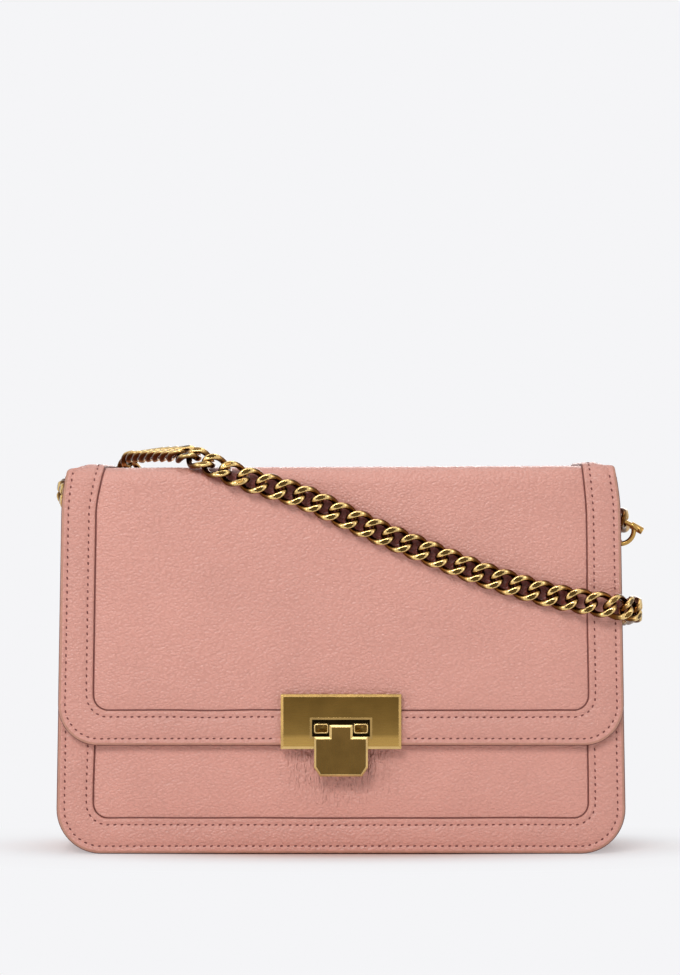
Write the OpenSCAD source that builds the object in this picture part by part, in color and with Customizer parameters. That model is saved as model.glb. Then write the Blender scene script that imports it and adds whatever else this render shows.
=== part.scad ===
// Chain shoulder bag: a boxy leather bag with a hinged flap, a flip lock and a curb chain.
// X runs along the front with the wearer's right at -X, Y from front to back, Z up.
// The origin is the middle of the base, on the surface that the bag stands on.

/* [Body] */
// Width of the bag at its base
body_w = 260; // [230:1:290]
// Width of the bag at its top edge
top_w = 254; // [226:1:284]
// Height of the closed bag
body_h = 178.5; // [160:0.5:200]
// Depth between the outer faces of the front and back panels
body_d = 70; // [60:1:84]
// Radius of the two bottom corners
corner_r = 20; // [14:1:26]
// How far the side gussets fold inwards at the top edge
fold_d = 17; // [13:0.5:19]
// Height at which the gusset folds begin
fold_low = 35; // [28:1:45]

/* [Leather and boards] */
// Thickness of the leather
leather_t = 1.6; // [1.2:0.1:1.8]
// Thickness of the stiffening boards in the panels
board_t = 1; // [0.8:0.1:1.2]
// Thickness of the board in the base
base_board_t = 2; // [1.5:0.1:3]
// Thickness of the lining
lining_t = 0.6; // [0.4:0.1:0.8]
// Width of the stitched band round the front
band_w = 16.3; // [12:0.1:20]
// Thickness of the stitched bands
band_t = 1; // [0.8:0.1:1.2]
// Radius of the inner corners of the bands
band_corner_r = 7; // [4:0.5:10]

/* [Flap] */
// Height of the flap's lower edge above the base
flap_low = 50.2; // [48:0.2:54]
// Radius of the flap's lower corners
flap_corner_r = 18; // [12:1:24]
// How far the flap's sides stand inside the body's sides
flap_inset = 0.8; // [0.4:0.1:2]
// Width of the flap where it runs over the top
flap_top_w = 241; // [215:1:250]
// Width of the band along the flap's lower edge and sides
flap_band_w = 15.2; // [12:0.1:18]
// Width of the band over the top
top_band_w = 12; // [8:0.5:15]
// Outer radius where the flap turns down to the front
flap_bend_r = 9; // [7:0.5:12]

/* [Lock] */
// Width of the lock plate
plate_w = 54.8; // [48:0.2:62]
// Height of the lock plate
plate_h = 24.9; // [22:0.1:28]
// Thickness of the lock plate
plate_t = 2.6; // [2.4:0.1:3.2]
// How far the lock plate reaches below the flap's edge
plate_drop = 1.6; // [0:0.1:1.8]
// Width of the bevel round the lock plate
plate_bevel = 1.2; // [0.6:0.1:1.8]
// Width of the slot in the lock plate
slot_w = 26.4; // [25.6:0.1:30]
// Height of the slot in the lock plate
slot_h = 7.7; // [7.2:0.1:9]
// Width of the lever's tongue
tongue_w = 24.5; // [20:0.1:25]
// Length of the lever's tongue below the slot's lower edge
tongue_l = 18; // [15:0.1:22]
// Thickness of the lever's tongue
tongue_t = 2; // [1.6:0.1:2.6]
// Width of the lever's neck
neck_w = 10.6; // [8:0.1:11]
// Width of one knuckle
knuckle_w = 6.7; // [5:0.1:7]
// Radius of the lever's pin
lever_pin_r = 0.8; // [0.6:0.05:0.9]

/* [Chain] */
// Thickness of the chain's wire
wire_d = 2.8; // [2.2:0.1:2.9]
// Distance from one link to the next
pitch = 8.8; // [8.6:0.05:9]
// Half the length of a link, at the middle of its wire
link_a = 6.3; // [6.2:0.05:6.5]
// Half the width of a link, at the middle of its wire
link_b = 4.6; // [4.4:0.05:5]
// Twist of each end of a link, in degrees
link_twist = 48; // [45:1:50]
// Height of the ground flats above the middle of a link
flat_h = 2.75; // [2.5:0.05:3.2]
// Half the length of the end links that hold the pins
end_link_a = 7.6; // [7:0.1:8]

/* [Rings] */
// Radius of a ring, at the middle of its wire
ring_r = 6.3; // [6:0.1:6.6]
// Thickness of a ring's wire
ring_wire_d = 2.3; // [1.9:0.1:2.4]
// Distance from a ring's centre to its pin
pin_rise = 4.6; // [4.2:0.1:4.8]
// Half the length of a ring's pin
pin_half_l = 9.2; // [8:0.1:9.5]
// Radius of a ring's pin
pin_r = 1.1; // [0.8:0.05:1.15]
// Radius of the heads of a ring's pin
pin_head_r = 1.7; // [1.4:0.1:1.8]
// Width of the leather tabs that hold the rings
tab_w = 6; // [4:0.5:6.5]

/* [Hidden] */
$fn = 48;

// Clearances
soft_gap = 0.4;
rest_gap = 0.3;
fit_gap = 0.05;
overrun = 1;

// The body's faces and edges
half_d = body_d / 2;
wall_y = half_d - leather_t;
side_tilt = atan((body_w - top_w) / 2 / body_h);
flap_t = lining_t + board_t + leather_t + band_t;
flap_in_z = body_h - flap_t;
body_top = flap_in_z - soft_gap - 0.5 * soft_gap;
band_face = half_d + band_t;
flap_in_y = band_face + soft_gap;
flap_face = flap_in_y + flap_t;
// The front's top edges keep clear of the round inside of the flap's bend
flap_in_r = flap_bend_r - flap_t;
bend_low_z = flap_in_z - flap_in_r;
panel_in_bend = flap_in_r - band_t - soft_gap;
front_top = bend_low_z + sqrt(pow(flap_in_r - rest_gap, 2) - pow(panel_in_bend, 2));
frame_top = bend_low_z + 2 * rest_gap;
board_inset = leather_t + lining_t + 3 * soft_gap;
floor_z = leather_t + base_board_t + lining_t;

// Layers of the flap, measured out from its inner face
lining_out = lining_t;
board_out = lining_out + board_t;
leather_out = board_out + leather_t;

// The lock's places, from the flap's lower edge
plate_low = flap_low - plate_drop;
plate_front = flap_face + plate_t;
slot_low = plate_low + 0.23 * plate_h;
rim_t = 0.2 * plate_t;
rim_w = 0.8 * plate_bevel;
pocket_d = 0.73 * plate_t;
lever_z = slot_low + slot_h / 2 - 0.02 * slot_h;
barrel_r = 1.9 * lever_pin_r;
lever_y = plate_front - pocket_d + barrel_r + rest_gap;
tongue_back = plate_front + rim_t + soft_gap;
tongue_low = slot_low - tongue_l;
knuckle_h = 0.6 * slot_h;
knuckle_x = neck_w / 2 + rest_gap + knuckle_w / 2;
screw_r = 1;
screw_x = 0.39 * plate_w;
screw_z_shares = [0.3, 0.78];
screw_bite = 0.55 * plate_t;
back_plate_t = 0.9 * board_t;
catch_w = 0.5 * tongue_w;
catch_h = 0.45 * tongue_l;
catch_z = tongue_low + 0.12 * tongue_l;
catch_flange_t = 0.5 * leather_t;
magnet_r = 0.34 * catch_h;
magnet_l = 1.2 * catch_h / 2;

// The hinge line of the flap, just behind the top edge of the back panel
flap_end_y = half_d - soft_gap / 2;

// The rings: the height of each and the slope of its pin in the XZ plane. The right one stands
// out of the gusset's fold and the left one lies in it.
ring_right_z = 0.8263 * body_h;
ring_right_turn = -28.8;
ring_right_out = 0.49 * ring_r;
ring_left_z = 0.916 * body_h;
ring_left_turn = 90;
ring_left_in = 0.83 * ring_r;
tab_right_l = 2.03 * ring_r;

// The chain: how far its middle lies off what it rests on, and the arcs round the corners
chain_rise = flat_h + 2 * rest_gap;
chain_arc_r = 6.4 * wire_d;
corner_in = (chain_arc_r - chain_rise) / sqrt(2);

function unit(v) = v / norm(v);
function side_x(z) = body_w / 2 - z * tan(side_tilt);

// OUTLINES
// The front outline, drawn in X and Z: straight leaning sides and two round bottom corners.
// The sides and the base are inset, low is the base's height and top the upper edge's.
module outline(inset, low, top, corner) {
    centre_z = low + corner;
    centre_x = side_x(centre_z) - (inset + corner) / cos(side_tilt);
    touch_x = centre_x + corner * cos(side_tilt);
    touch_z = centre_z + corner * sin(side_tilt);
    top_x = touch_x - (top - touch_z) * tan(side_tilt);
    polygon([
        [-centre_x, low], [centre_x, low], [centre_x, centre_z],
        [touch_x, touch_z], [top_x, top], [-top_x, top],
        [-touch_x, touch_z], [-centre_x, centre_z]
    ]);
    for (side = [-1, 1]) {
        translate([side * centre_x, centre_z]) circle(corner);
    }
}

// A sheet of thickness t whose back face lies at y, reaching towards -Y
module sheet(y, t) {
    translate([0, y, 0]) rotate([90, 0, 0]) linear_extrude(t) children();
}

// A block centred on X and Y that stands on z
module block(w, d, low, high) {
    translate([-w / 2, -d / 2, low]) cube([w, d, high - low]);
}

// FRONT AND BACK
module front_panel() {
    color("#d49a90") sheet(-wall_y, leather_t) outline(0, 0, front_top, corner_r);
}

module front_frame() {
    color("#cf958b") sheet(-half_d, band_t) difference() {
        outline(0, 0, frame_top, corner_r);
        outline(band_w, band_w, frame_top + overrun, band_corner_r);
    }
}

module wall_board(y) {
    color("#b9a58c") sheet(y, board_t)
        outline(board_inset, board_inset, body_top - soft_gap, corner_r - board_inset);
}

module wall_lining(y) {
    color("#6f4a48") sheet(y, lining_t)
        outline(board_inset, board_inset, body_top - soft_gap, corner_r - board_inset);
}

module front_board() {
    wall_board(-wall_y + board_t);
}

module front_lining() {
    wall_lining(-wall_y + board_t + lining_t);
}

module back_panel() {
    color("#d0968c") sheet(half_d, leather_t) outline(0, 0, body_top, corner_r);
}

module back_board() {
    wall_board(wall_y);
}

module back_lining() {
    wall_lining(wall_y - board_t);
}

// GUSSETS
// Each gusset is a strip that runs down the side and round the bottom corner to the base.
// Its middle folds inwards, more towards the top.
gusset_top = body_top - soft_gap;
fold_across_shares = [0, 0.55, 1, 0.55, 0];
fold_power = 1.2;
gusset_high_shares = [1, 0.86, 0.72, 0.58, 0.44, 0.3, 0.16, 0];
gusset_arc_steps = 5;

function fold_at(z) = z <= fold_low ? 0
    : fold_d * pow((z - fold_low) / (gusset_top - fold_low), fold_power);
function gusset_centre() = [
    side_x(corner_r) - corner_r / cos(side_tilt),
    corner_r
];
// A place on the body's outline and its outward direction, as [x, z, nx, nz]
function gusset_places() = concat(
    [for (s = gusset_high_shares)
        let (z0 = corner_r + corner_r * sin(side_tilt), z = z0 + s * (gusset_top - z0))
        [side_x(z), z, cos(side_tilt), sin(side_tilt)]],
    [for (k = [1:gusset_arc_steps])
        let (a = side_tilt - k / gusset_arc_steps * (90 + side_tilt), c = gusset_centre())
        [c[0] + corner_r * cos(a), c[1] + corner_r * sin(a), cos(a), sin(a)]]
);
// One cross-section of the strip between two depths under the outline
function gusset_section(place, depth_out, depth_in, half_w) = let (
    last = len(fold_across_shares) - 1,
    across = function (k) half_w * (2 * k / last - 1),
    at = function (k, depth) [
        place[0] - depth * place[2] - fold_at(place[1]) * fold_across_shares[k],
        across(k),
        place[1] - depth * place[3]
    ]
) concat(
    [for (k = [0:last]) at(k, depth_out)],
    [for (k = [last:-1:0]) at(k, depth_in)]
);

// A strip through cross-sections that each list the outer points and then the inner ones. Both
// faces are split along the same diagonals, so that strips laid on each other meet all over.
module strip(sections) {
    m = len(sections[0]);
    n = len(sections);
    sides = [for (i = [0:n - 2]) for (j = [0:m - 1])
        let (a = i * m + j, b = i * m + (j + 1) % m, c = a + m, d = b + m)
        each j < m / 2 ? [[a, b, c], [b, d, c]] : [[a, b, d], [a, d, c]]];
    caps = [for (k = [0:m / 2 - 2])
        let (a = k, b = k + 1, c = m - 2 - k, d = m - 1 - k, e = (n - 1) * m)
        each [[a, c, b], [a, d, c], [e + a, e + b, e + c], [e + a, e + c, e + d]]];
    polyhedron(points = [for (s = sections) each s], faces = concat(sides, caps));
}

module gusset(depth_out, depth_in) {
    strip([for (p = gusset_places()) gusset_section(p, depth_out, depth_in, wall_y)]);
}

module gusset_right() {
    color("#cc9187") gusset(0, leather_t);
}

module gusset_left() {
    color("#cc9187") mirror([1, 0, 0]) gusset(0, leather_t);
}

module gusset_lining_right() {
    color("#6f4a48") gusset(leather_t, leather_t + lining_t);
}

module gusset_lining_left() {
    color("#6f4a48") mirror([1, 0, 0]) gusset(leather_t, leather_t + lining_t);
}

// BASE
base_w = 2 * gusset_centre()[0];
base_in_d = 2 * (wall_y - board_t - lining_t - soft_gap / 2);

module base_panel() {
    color("#c88d83") block(base_w, 2 * wall_y, 0, leather_t);
}

module base_board() {
    color("#b9a58c") block(base_w - soft_gap, base_in_d, leather_t, leather_t + base_board_t);
}

module base_lining() {
    color("#6f4a48") block(base_w - soft_gap, base_in_d, floor_z - lining_t, floor_z);
}

// FLAP
// The flap's cross-section in Y and Z between two distances from its inner face
module flap_section(from, to) {
    centre_y = -flap_in_y + flap_in_r;
    centre_z = bend_low_z;
    translate([centre_y, flap_in_z + from]) square([flap_end_y - centre_y, to - from]);
    translate([-flap_in_y - to, 0]) square([to - from, centre_z]);
    intersection() {
        translate([centre_y, centre_z]) difference() {
            circle(flap_in_r + to);
            circle(flap_in_r + from);
        }
        translate([centre_y - 2 * flap_bend_r, centre_z])
            square([2 * flap_bend_r, 2 * flap_bend_r]);
    }
}

// The flap seen from the front, and the narrower part that runs over the top
module flap_outline_cut() {
    bend_y = -flap_in_y + flap_bend_r - flap_t;
    intersection() {
        sheet(half_d + overrun, 2 * flap_face + half_d)
            outline(flap_inset, flap_low, body_h + overrun, flap_corner_r);
        union() {
            translate([-body_w / 2, -2 * flap_face, 0])
                cube([body_w, 2 * flap_face + bend_y, body_h + overrun]);
            translate([-flap_top_w / 2, -2 * flap_face, 0])
                cube([flap_top_w, 2 * flap_face + 2 * half_d, body_h + overrun]);
        }
    }
}

module flap_layer(from, to) {
    intersection() {
        rotate([90, 0, 90]) linear_extrude(body_w, center = true) flap_section(from, to);
        flap_outline_cut();
    }
}

// Holes for the lock's screws, through whatever they cross
module screw_places() {
    for (side = [-1, 1]) for (share = screw_z_shares) {
        translate([side * screw_x, 0, plate_low + share * plate_h]) rotate([90, 0, 0]) children();
    }
}

module screw_holes() {
    screw_places() cylinder(r = screw_r + fit_gap, h = 2 * flap_face);
}

module flap_panel() {
    color("#d69d93") difference() {
        flap_layer(board_out, leather_out);
        screw_holes();
    }
}

module flap_board() {
    color("#b9a58c") difference() {
        flap_layer(lining_out, board_out);
        screw_holes();
    }
}

module flap_lining() {
    color("#6f4a48") difference() {
        flap_layer(0, lining_out);
        screw_holes();
    }
}

module flap_frame() {
    bend_y = -flap_in_y + flap_bend_r - flap_t;
    window_top_w = flap_top_w - 2 * top_band_w;
    window_low_x = side_x(flap_low + flap_band_w) - flap_inset - flap_band_w;
    window_low = flap_low + flap_band_w;
    lean = atan((window_low_x - window_top_w / 2) / (body_h - window_low));
    corner_x = window_low_x - band_corner_r * (1 + sin(lean));
    corner_z = window_low + band_corner_r;
    color("#cf958b") difference() {
        flap_layer(leather_out, flap_t);
        sheet(bend_y, 2 * flap_face) {
            polygon([
                [-corner_x, window_low], [corner_x, window_low], [corner_x, corner_z],
                [corner_x + band_corner_r, corner_z], [window_top_w / 2, body_h],
                [window_top_w / 2, body_h + overrun], [-window_top_w / 2, body_h + overrun],
                [-window_top_w / 2, body_h], [-corner_x - band_corner_r, corner_z],
                [-corner_x, corner_z]
            ]);
            for (side = [-1, 1]) {
                translate([side * corner_x, corner_z]) circle(band_corner_r);
            }
        }
        translate([-window_top_w / 2, bend_y - overrun, flap_in_z])
            cube([window_top_w, 2 * body_d, 2 * flap_t]);
        screw_holes();
    }
}

// LOCK
// A plate in X and Z from low to high, between y and y - t, with its front edge bevelled
module bevelled(w, low, high, y, t, bevel) {
    hull() {
        sheet(y, t - bevel / 2) translate([-w / 2, low]) square([w, high - low]);
        sheet(y, t) translate([-w / 2 + bevel, low + bevel])
            square([w - 2 * bevel, high - low - 2 * bevel]);
    }
}

module lock_plate() {
    band_top = flap_low + flap_band_w;
    color("#b08d4a") difference() {
        union() {
            bevelled(plate_w, plate_low, plate_low + plate_h, -flap_face, plate_t, plate_bevel);
            sheet(-flap_face + band_t, band_t) translate([-plate_w / 2, band_top + rest_gap])
                square([plate_w, plate_low + plate_h - band_top - rest_gap]);
            sheet(-plate_front, rim_t) difference() {
                translate([-slot_w / 2 - rim_w, slot_low - rim_w])
                    square([slot_w + 2 * rim_w, slot_h + 2 * rim_w]);
                translate([-slot_w / 2, slot_low]) square([slot_w, slot_h]);
            }
        }
        sheet(-plate_front + pocket_d, 2 * plate_t)
            translate([-slot_w / 2, slot_low]) square([slot_w, slot_h]);
        screw_places() cylinder(r = screw_r + fit_gap, h = flap_face + screw_bite);
    }
    color("#a37f3f") for (side = [-1, 1]) difference() {
        sheet(-plate_front + pocket_d, pocket_d + 2 * rim_t + rest_gap)
            translate([side * knuckle_x - knuckle_w / 2, lever_z - knuckle_h / 2])
            square([knuckle_w, knuckle_h]);
        lever_bore();
    }
}

// The bore for the lever's pin
module lever_bore() {
    translate([0, -lever_y, lever_z]) rotate([0, 90, 0])
        cylinder(r = lever_pin_r + fit_gap, h = 2 * slot_w, center = true);
}

module lock_pin() {
    pin_l = neck_w + 2 * rest_gap + 1.7 * knuckle_w;
    color("#8f6f35") translate([0, -lever_y, lever_z]) rotate([0, 90, 0])
        cylinder(r = lever_pin_r, h = pin_l, center = true);
}

module lock_back_plate() {
    inset = plate_bevel;
    color("#b08d4a") difference() {
        sheet(-flap_in_y + back_plate_t, back_plate_t)
            translate([-plate_w / 2 + inset, flap_low + inset])
            square([plate_w - 2 * inset, plate_h - plate_drop - 2 * inset]);
        screw_holes();
    }
}

module lock_screws() {
    color("#9c7a3b") screw_places() translate([0, 0, flap_in_y - back_plate_t]) {
        cylinder(r = screw_r, h = flap_t + back_plate_t + screw_bite - fit_gap);
    }
}

module lock_lever() {
    cut_x = tongue_w / 2 - 0.11 * tongue_w;
    cut_z = tongue_low + 0.22 * tongue_l;
    bevel = 0.45 * tongue_t;
    neck_low = slot_low - overrun;
    neck_high = lever_z + 0.22 * slot_h;
    color("#c29b52") difference() {
        union() {
            hull() {
                sheet(-tongue_back, tongue_t - bevel) tongue(0, cut_x, cut_z);
                sheet(-tongue_back, tongue_t) tongue(bevel, cut_x, cut_z);
            }
            hull() {
                sheet(-lever_y, tongue_back + tongue_t - bevel - lever_y)
                    translate([-neck_w / 2, neck_low]) square([neck_w, neck_high - neck_low]);
                sheet(-lever_y, tongue_back + tongue_t - lever_y)
                    translate([-neck_w / 2 + bevel, neck_low])
                    square([neck_w - 2 * bevel, neck_high - bevel - neck_low]);
            }
            translate([0, -lever_y, lever_z]) rotate([0, 90, 0])
                cylinder(r = barrel_r, h = neck_w, center = true);
        }
        lever_bore();
        sheet(-lever_y + 2 * barrel_r, tongue_back - lever_y + 2 * barrel_r)
            translate([-neck_w, slot_low - 2 * overrun])
            square([2 * neck_w, 2 * overrun + rest_gap / 2]);
    }
}

// The tongue's outline, with its two lower corners cut off
module tongue(inset, cut_x, cut_z) {
    half = tongue_w / 2 - inset;
    polygon([
        [-half, slot_low - inset], [half, slot_low - inset], [half, cut_z + inset / 2],
        [cut_x - inset / 2, tongue_low + inset], [-cut_x + inset / 2, tongue_low + inset],
        [-half, cut_z + inset / 2]
    ]);
}

module lock_catch() {
    front = tongue_back - rest_gap;
    color("#a8853f") difference() {
        union() {
            sheet(-half_d, catch_flange_t) translate([-0.7 * catch_w, catch_z - 0.15 * catch_h])
                square([1.4 * catch_w, 1.3 * catch_h]);
            sheet(-half_d, front - half_d) translate([-catch_w / 2, catch_z])
                square([catch_w, catch_h]);
        }
        magnet_shape(fit_gap, overrun);
    }
}

module magnet_shape(grow, more) {
    translate([0, -tongue_back + rest_gap + magnet_l + grow, catch_z + catch_h / 2])
        rotate([90, 0, 0]) cylinder(r = magnet_r + grow, h = magnet_l + grow + more);
}

module lock_magnet() {
    color("#8a8a8e") magnet_shape(0, 0);
}

// RINGS
// A ring is drawn round its own centre: its pin lies along X, its plane is XZ and its bow
// hangs towards -Z. It is then turned about Y and moved to its place.
ring_end = acos(pin_rise / ring_r);
ring_wire_r = ring_wire_d / 2;
bow_x = ring_r * sin(ring_end);
boss_r = 1.55 * pin_r;
boss_in_x = bow_x - 0.48 * ring_wire_d;
// The pin's heads begin where they are clear of the bow
head_x = sqrt(pow(ring_r + ring_wire_r, 2) - pow(pin_rise - pin_head_r, 2)) + fit_gap;

ring_right_x = side_x(ring_right_z) + ring_right_out;
ring_left_x = ring_left_in - side_x(ring_left_z);
// The left tab reaches from the bow to the fold, whose surface it meets beside its middle
fold_share = 0.885;
tab_left_l = fold_share * fold_at(ring_left_z) - ring_left_in - ring_r - ring_wire_r - rest_gap;

module at_ring(x, z, turn) {
    translate([x, 0, z]) rotate([0, -turn, 0]) children();
}

module ring_bow() {
    color("#b7914a") difference() {
        union() {
            rotate([90, 0, 0]) rotate([0, 0, 90 + ring_end])
                rotate_extrude(angle = 360 - 2 * ring_end)
                translate([ring_r, 0]) circle(ring_wire_r);
            for (side = [-1, 1]) {
                translate([side * (boss_in_x + head_x - fit_gap) / 2, 0, pin_rise]) rotate([0, 90, 0])
                    cylinder(r = boss_r, h = head_x - fit_gap - boss_in_x, center = true);
            }
        }
        translate([0, 0, pin_rise]) rotate([0, 90, 0])
            cylinder(r = pin_r + fit_gap, h = 4 * ring_r, center = true);
    }
}

module ring_pin() {
    head_l = pin_half_l - head_x;
    color("#a8853f") translate([0, 0, pin_rise]) rotate([0, 90, 0]) {
        cylinder(r = pin_r, h = 2 * pin_half_l - head_l, center = true);
        for (side = [-1, 1]) {
            translate([0, 0, side * (pin_half_l - head_l / 2)])
                cylinder(r = pin_head_r, h = head_l, center = true);
        }
    }
}

// A tab is a leather strip folded round the bow's lowest stretch and sewn into the gusset's fold
module ring_tab(l) {
    bow_dip = ring_r - sqrt(ring_r * ring_r - tab_w * tab_w / 4);
    eye_low = -ring_r - ring_wire_r - rest_gap;
    eye_high = -ring_r + ring_wire_r + bow_dip + rest_gap;
    eye_half = ring_wire_r + rest_gap;
    strap_t = 0.75 * leather_t;
    color("#c98f85") rotate([90, 0, 90]) linear_extrude(tab_w, center = true) difference() {
        union() {
            translate([-eye_half - strap_t, eye_low - l]) square([2 * (eye_half + strap_t), l]);
            translate([-eye_half - strap_t, eye_low - fit_gap])
                square([2 * (eye_half + strap_t), eye_high - eye_low + fit_gap]);
            intersection() {
                translate([0, eye_high]) circle(eye_half + strap_t);
                translate([-2 * eye_half, eye_high])
                    square([4 * eye_half + 2 * strap_t, strap_t]);
            }
        }
        translate([-eye_half, eye_low]) square([2 * eye_half, eye_high - eye_low]);
    }
}

module ring_right() {
    at_ring(ring_right_x, ring_right_z, ring_right_turn) ring_bow();
}

module ring_pin_right() {
    at_ring(ring_right_x, ring_right_z, ring_right_turn) ring_pin();
}

module tab_right() {
    at_ring(ring_right_x, ring_right_z, ring_right_turn) ring_tab(tab_right_l);
}

module ring_left() {
    at_ring(ring_left_x, ring_left_z, ring_left_turn) ring_bow();
}

module ring_pin_left() {
    at_ring(ring_left_x, ring_left_z, ring_left_turn) ring_pin();
}

module tab_left() {
    at_ring(ring_left_x, ring_left_z, ring_left_turn) ring_tab(tab_left_l);
}

// CHAIN
// A link is an oval of wire whose ends are twisted against each other, so that the links
// interlock and still lie flat. Its upper and lower crests are ground to flats at a height.
// The start of the link lies in a plane turned by tip about its length, the end in one turned
// the other way.
link_rings = 12;
link_sides = 6;

function link_middle(a, tip, t) = let (
    turn = (link_twist - tip) / 2 + (link_twist + tip) / 2 * cos(t)
) [a * cos(t), link_b * sin(t) * cos(turn), -link_b * sin(t) * sin(turn)];
function link_points(a, tip, crest) = [for (i = [0:link_rings - 1])
    let (
        t = 360 * i / link_rings,
        middle = link_middle(a, tip, t),
        along = unit(link_middle(a, tip, t + 1) - link_middle(a, tip, t - 1)),
        out = unit(cross(along, [0, 0, 1])),
        up = cross(out, along)
    )
    for (j = [0:link_sides - 1])
        let (
            s = 360 * (j + 0.5) / link_sides,
            p = middle + wire_d / 2 * (cos(s) * out + sin(s) * up)
        )
        [p[0], p[1], max(-crest, min(crest, p[2]))]
];
link_faces = [for (i = [0:link_rings - 1]) for (j = [0:link_sides - 1])
    let (
        a = i * link_sides + j,
        b = i * link_sides + (j + 1) % link_sides,
        c = (i + 1) % link_rings * link_sides + j,
        d = (i + 1) % link_rings * link_sides + (j + 1) % link_sides
    )
    each [[a, b, c], [b, d, c]]];

// A smooth curve through a route's points, in short steps, with the band's outward direction
steps = 8;
function curve(p0, p1, p2, p3, t) = 0.5 * (
    2 * p1 + (p2 - p0) * t + (2 * p0 - 5 * p1 + 4 * p2 - p3) * t * t
    + (3 * p1 - p0 - 3 * p2 + p3) * t * t * t
);
function fine(route) = let (n = len(route) - 1) concat(
    [for (i = [0:n - 1]) for (k = [0:steps - 1])
        let (
            t = k / steps,
            p0 = i == 0 ? 2 * route[0][0] - route[1][0] : route[i - 1][0],
            p3 = i == n - 1 ? 2 * route[n][0] - route[n - 1][0] : route[i + 2][0]
        )
        [
            curve(p0, route[i][0], route[i + 1][0], p3, t),
            route[i][1] * (1 - t) + route[i + 1][1] * t
        ]],
    [route[n]]
);
function run_lengths(fine_route) = [
    for (i = 0, s = 0; i < len(fine_route);
        s = s + (i + 1 < len(fine_route) ? norm(fine_route[i + 1][0] - fine_route[i][0]) : 0),
        i = i + 1) s
];
// Places of the links: the middle, and the three directions along, across and out. Each link
// spans from one joint on the curve to the next, so neighbours turn alike at their joint.
function link_frames(route, start) = let (
    run = fine(route),
    s = run_lengths(run),
    tables = [for (part = [0, 1]) for (axis = [0:2])
        [for (i = [0:len(run) - 1]) [s[i], run[i][part][axis]]]],
    at = function (d) [lookup(d, tables[0]), lookup(d, tables[1]), lookup(d, tables[2])],
    out_at = function (d) [lookup(d, tables[3]), lookup(d, tables[4]), lookup(d, tables[5])],
    count = floor((s[len(s) - 1] - start) / pitch)
) [for (k = [0:count - 1])
    let (
        d = start + k * pitch,
        here = at(d),
        there = at(d + pitch),
        along = unit(there - here),
        across = unit(cross(out_at(d + pitch / 2), along))
    )
    [(here + there) / 2, along, across, cross(along, across)]];

function place(frame, p) = frame[0] + p[0] * frame[1] + p[1] * frame[2] + p[2] * frame[3];

module link(frame, a, tip, crest) {
    color("#b08a45") polyhedron(
        points = [for (p = link_points(a, tip, crest)) place(frame, p)],
        faces = link_faces
    );
}

module chain(route, start) {
    for (frame = link_frames(route, start)) {
        link(frame, link_a, link_twist, flat_h);
    }
}

// The turn that sets the start of a link square to a pin, the one nearest to an ordinary link's
function link_tip(frame, pin_direction) = let (
    turn = atan2(pin_direction * frame[3], pin_direction * frame[2]) - 90
) turn - 180 * round((turn - link_twist) / 180);

// The end link is round throughout and starts round a ring's pin
module end_link(route, pin_direction) {
    frame = link_frames(route, 0)[0];
    link(frame, end_link_a, link_tip(frame, pin_direction), link_b + wire_d);
}

// Places on the route, as shares of the body's width, depth and height
over_top = body_h + chain_rise;
down_front = -flap_face - chain_rise;
behind = half_d + chain_rise + 4 * soft_gap;

// Over the top: share of the width, share of the depth
top_run_shares = [[-0.377, 0.386], [-0.354, 0.186], [-0.329, -0.03], [-0.302, -0.25]];
// Round the bend at the top of the front: share of the width, angle above the horizontal
bend_run_shares = [[-0.275, 88], [-0.2615, 70], [-0.24, 50], [-0.21, 30], [-0.173, 12]];
// Down the front: share of the width, share of the height
front_run_shares = [
    [-0.13, 0.9434], [-0.068, 0.916], [-0.0035, 0.872], [0.06, 0.829], [0.119, 0.793],
    [0.183, 0.755], [0.249, 0.7165], [0.314, 0.686], [0.378, 0.66]
];
// Round the right side: the height share at the front corner and at the back corner
wrap_front_share = 0.64;
wrap_back_share = 0.605;
function wrap_share(s) = wrap_front_share + s * (wrap_back_share - wrap_front_share);
// The angles of the places on the arcs round the corners. A run from a ring stands off the
// side, so its arc begins earlier.
front_arc_angles = [-74, -50, -25, 0];
ring_arc_angles = [-20, 1, 22, 43, 64, 82];
back_arc_angles = [78, 52, 26, 0];
// Along the right side, as shares of the depth, as far as the flap carries the chain
side_run_shares = [-0.25, -0.05, 0.13];
// How far the chain drops round the right back corner, as a share of the height
drop_share = 0.012;
// Behind the right side the slack hangs in a loop: its middle and its radius
loop_middle_shares = [0.272, 0.37];
loop_r = 0.088 * body_w;
// The run goes down to the loop and comes up from it: share of the width, share of the height.
// Going down it swings in from behind, so each place has a distance too, in chain heights.
down_run_shares = [
    [0.398, 0.812, 1.45], [0.338, 0.777, 0.6], [0.284, 0.725, 0.1], [0.24, 0.665, 0],
    [0.208, 0.59, 0], [0.19, 0.51, 0], [0.184, 0.43, 0]
];
up_run_shares = [[0.3615, 0.435], [0.366, 0.49], [0.38, 0.539], [0.408, 0.571]];

out_top = [0, 0, 1];
out_front = [0, -1, 0];
out_right = [1, 0, 0];
out_back = [0, 1, 0];
out_left = [-1, 0, 0];

// A place on an arc round an upright corner of the body, whose middle is at [x, y]
function corner_place(x, y, z, angle) = [
    [x + chain_arc_r * cos(angle), y + chain_arc_r * sin(angle), z],
    [cos(angle), sin(angle), 0]
];
bend_z = body_h - flap_bend_r;
bend_y = -flap_face + flap_bend_r;
wrap_x = side_x(wrap_front_share * body_h) - flap_inset - corner_in;
wrap_y = -flap_face + corner_in;
back_wrap_y = half_d - corner_in;

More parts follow.
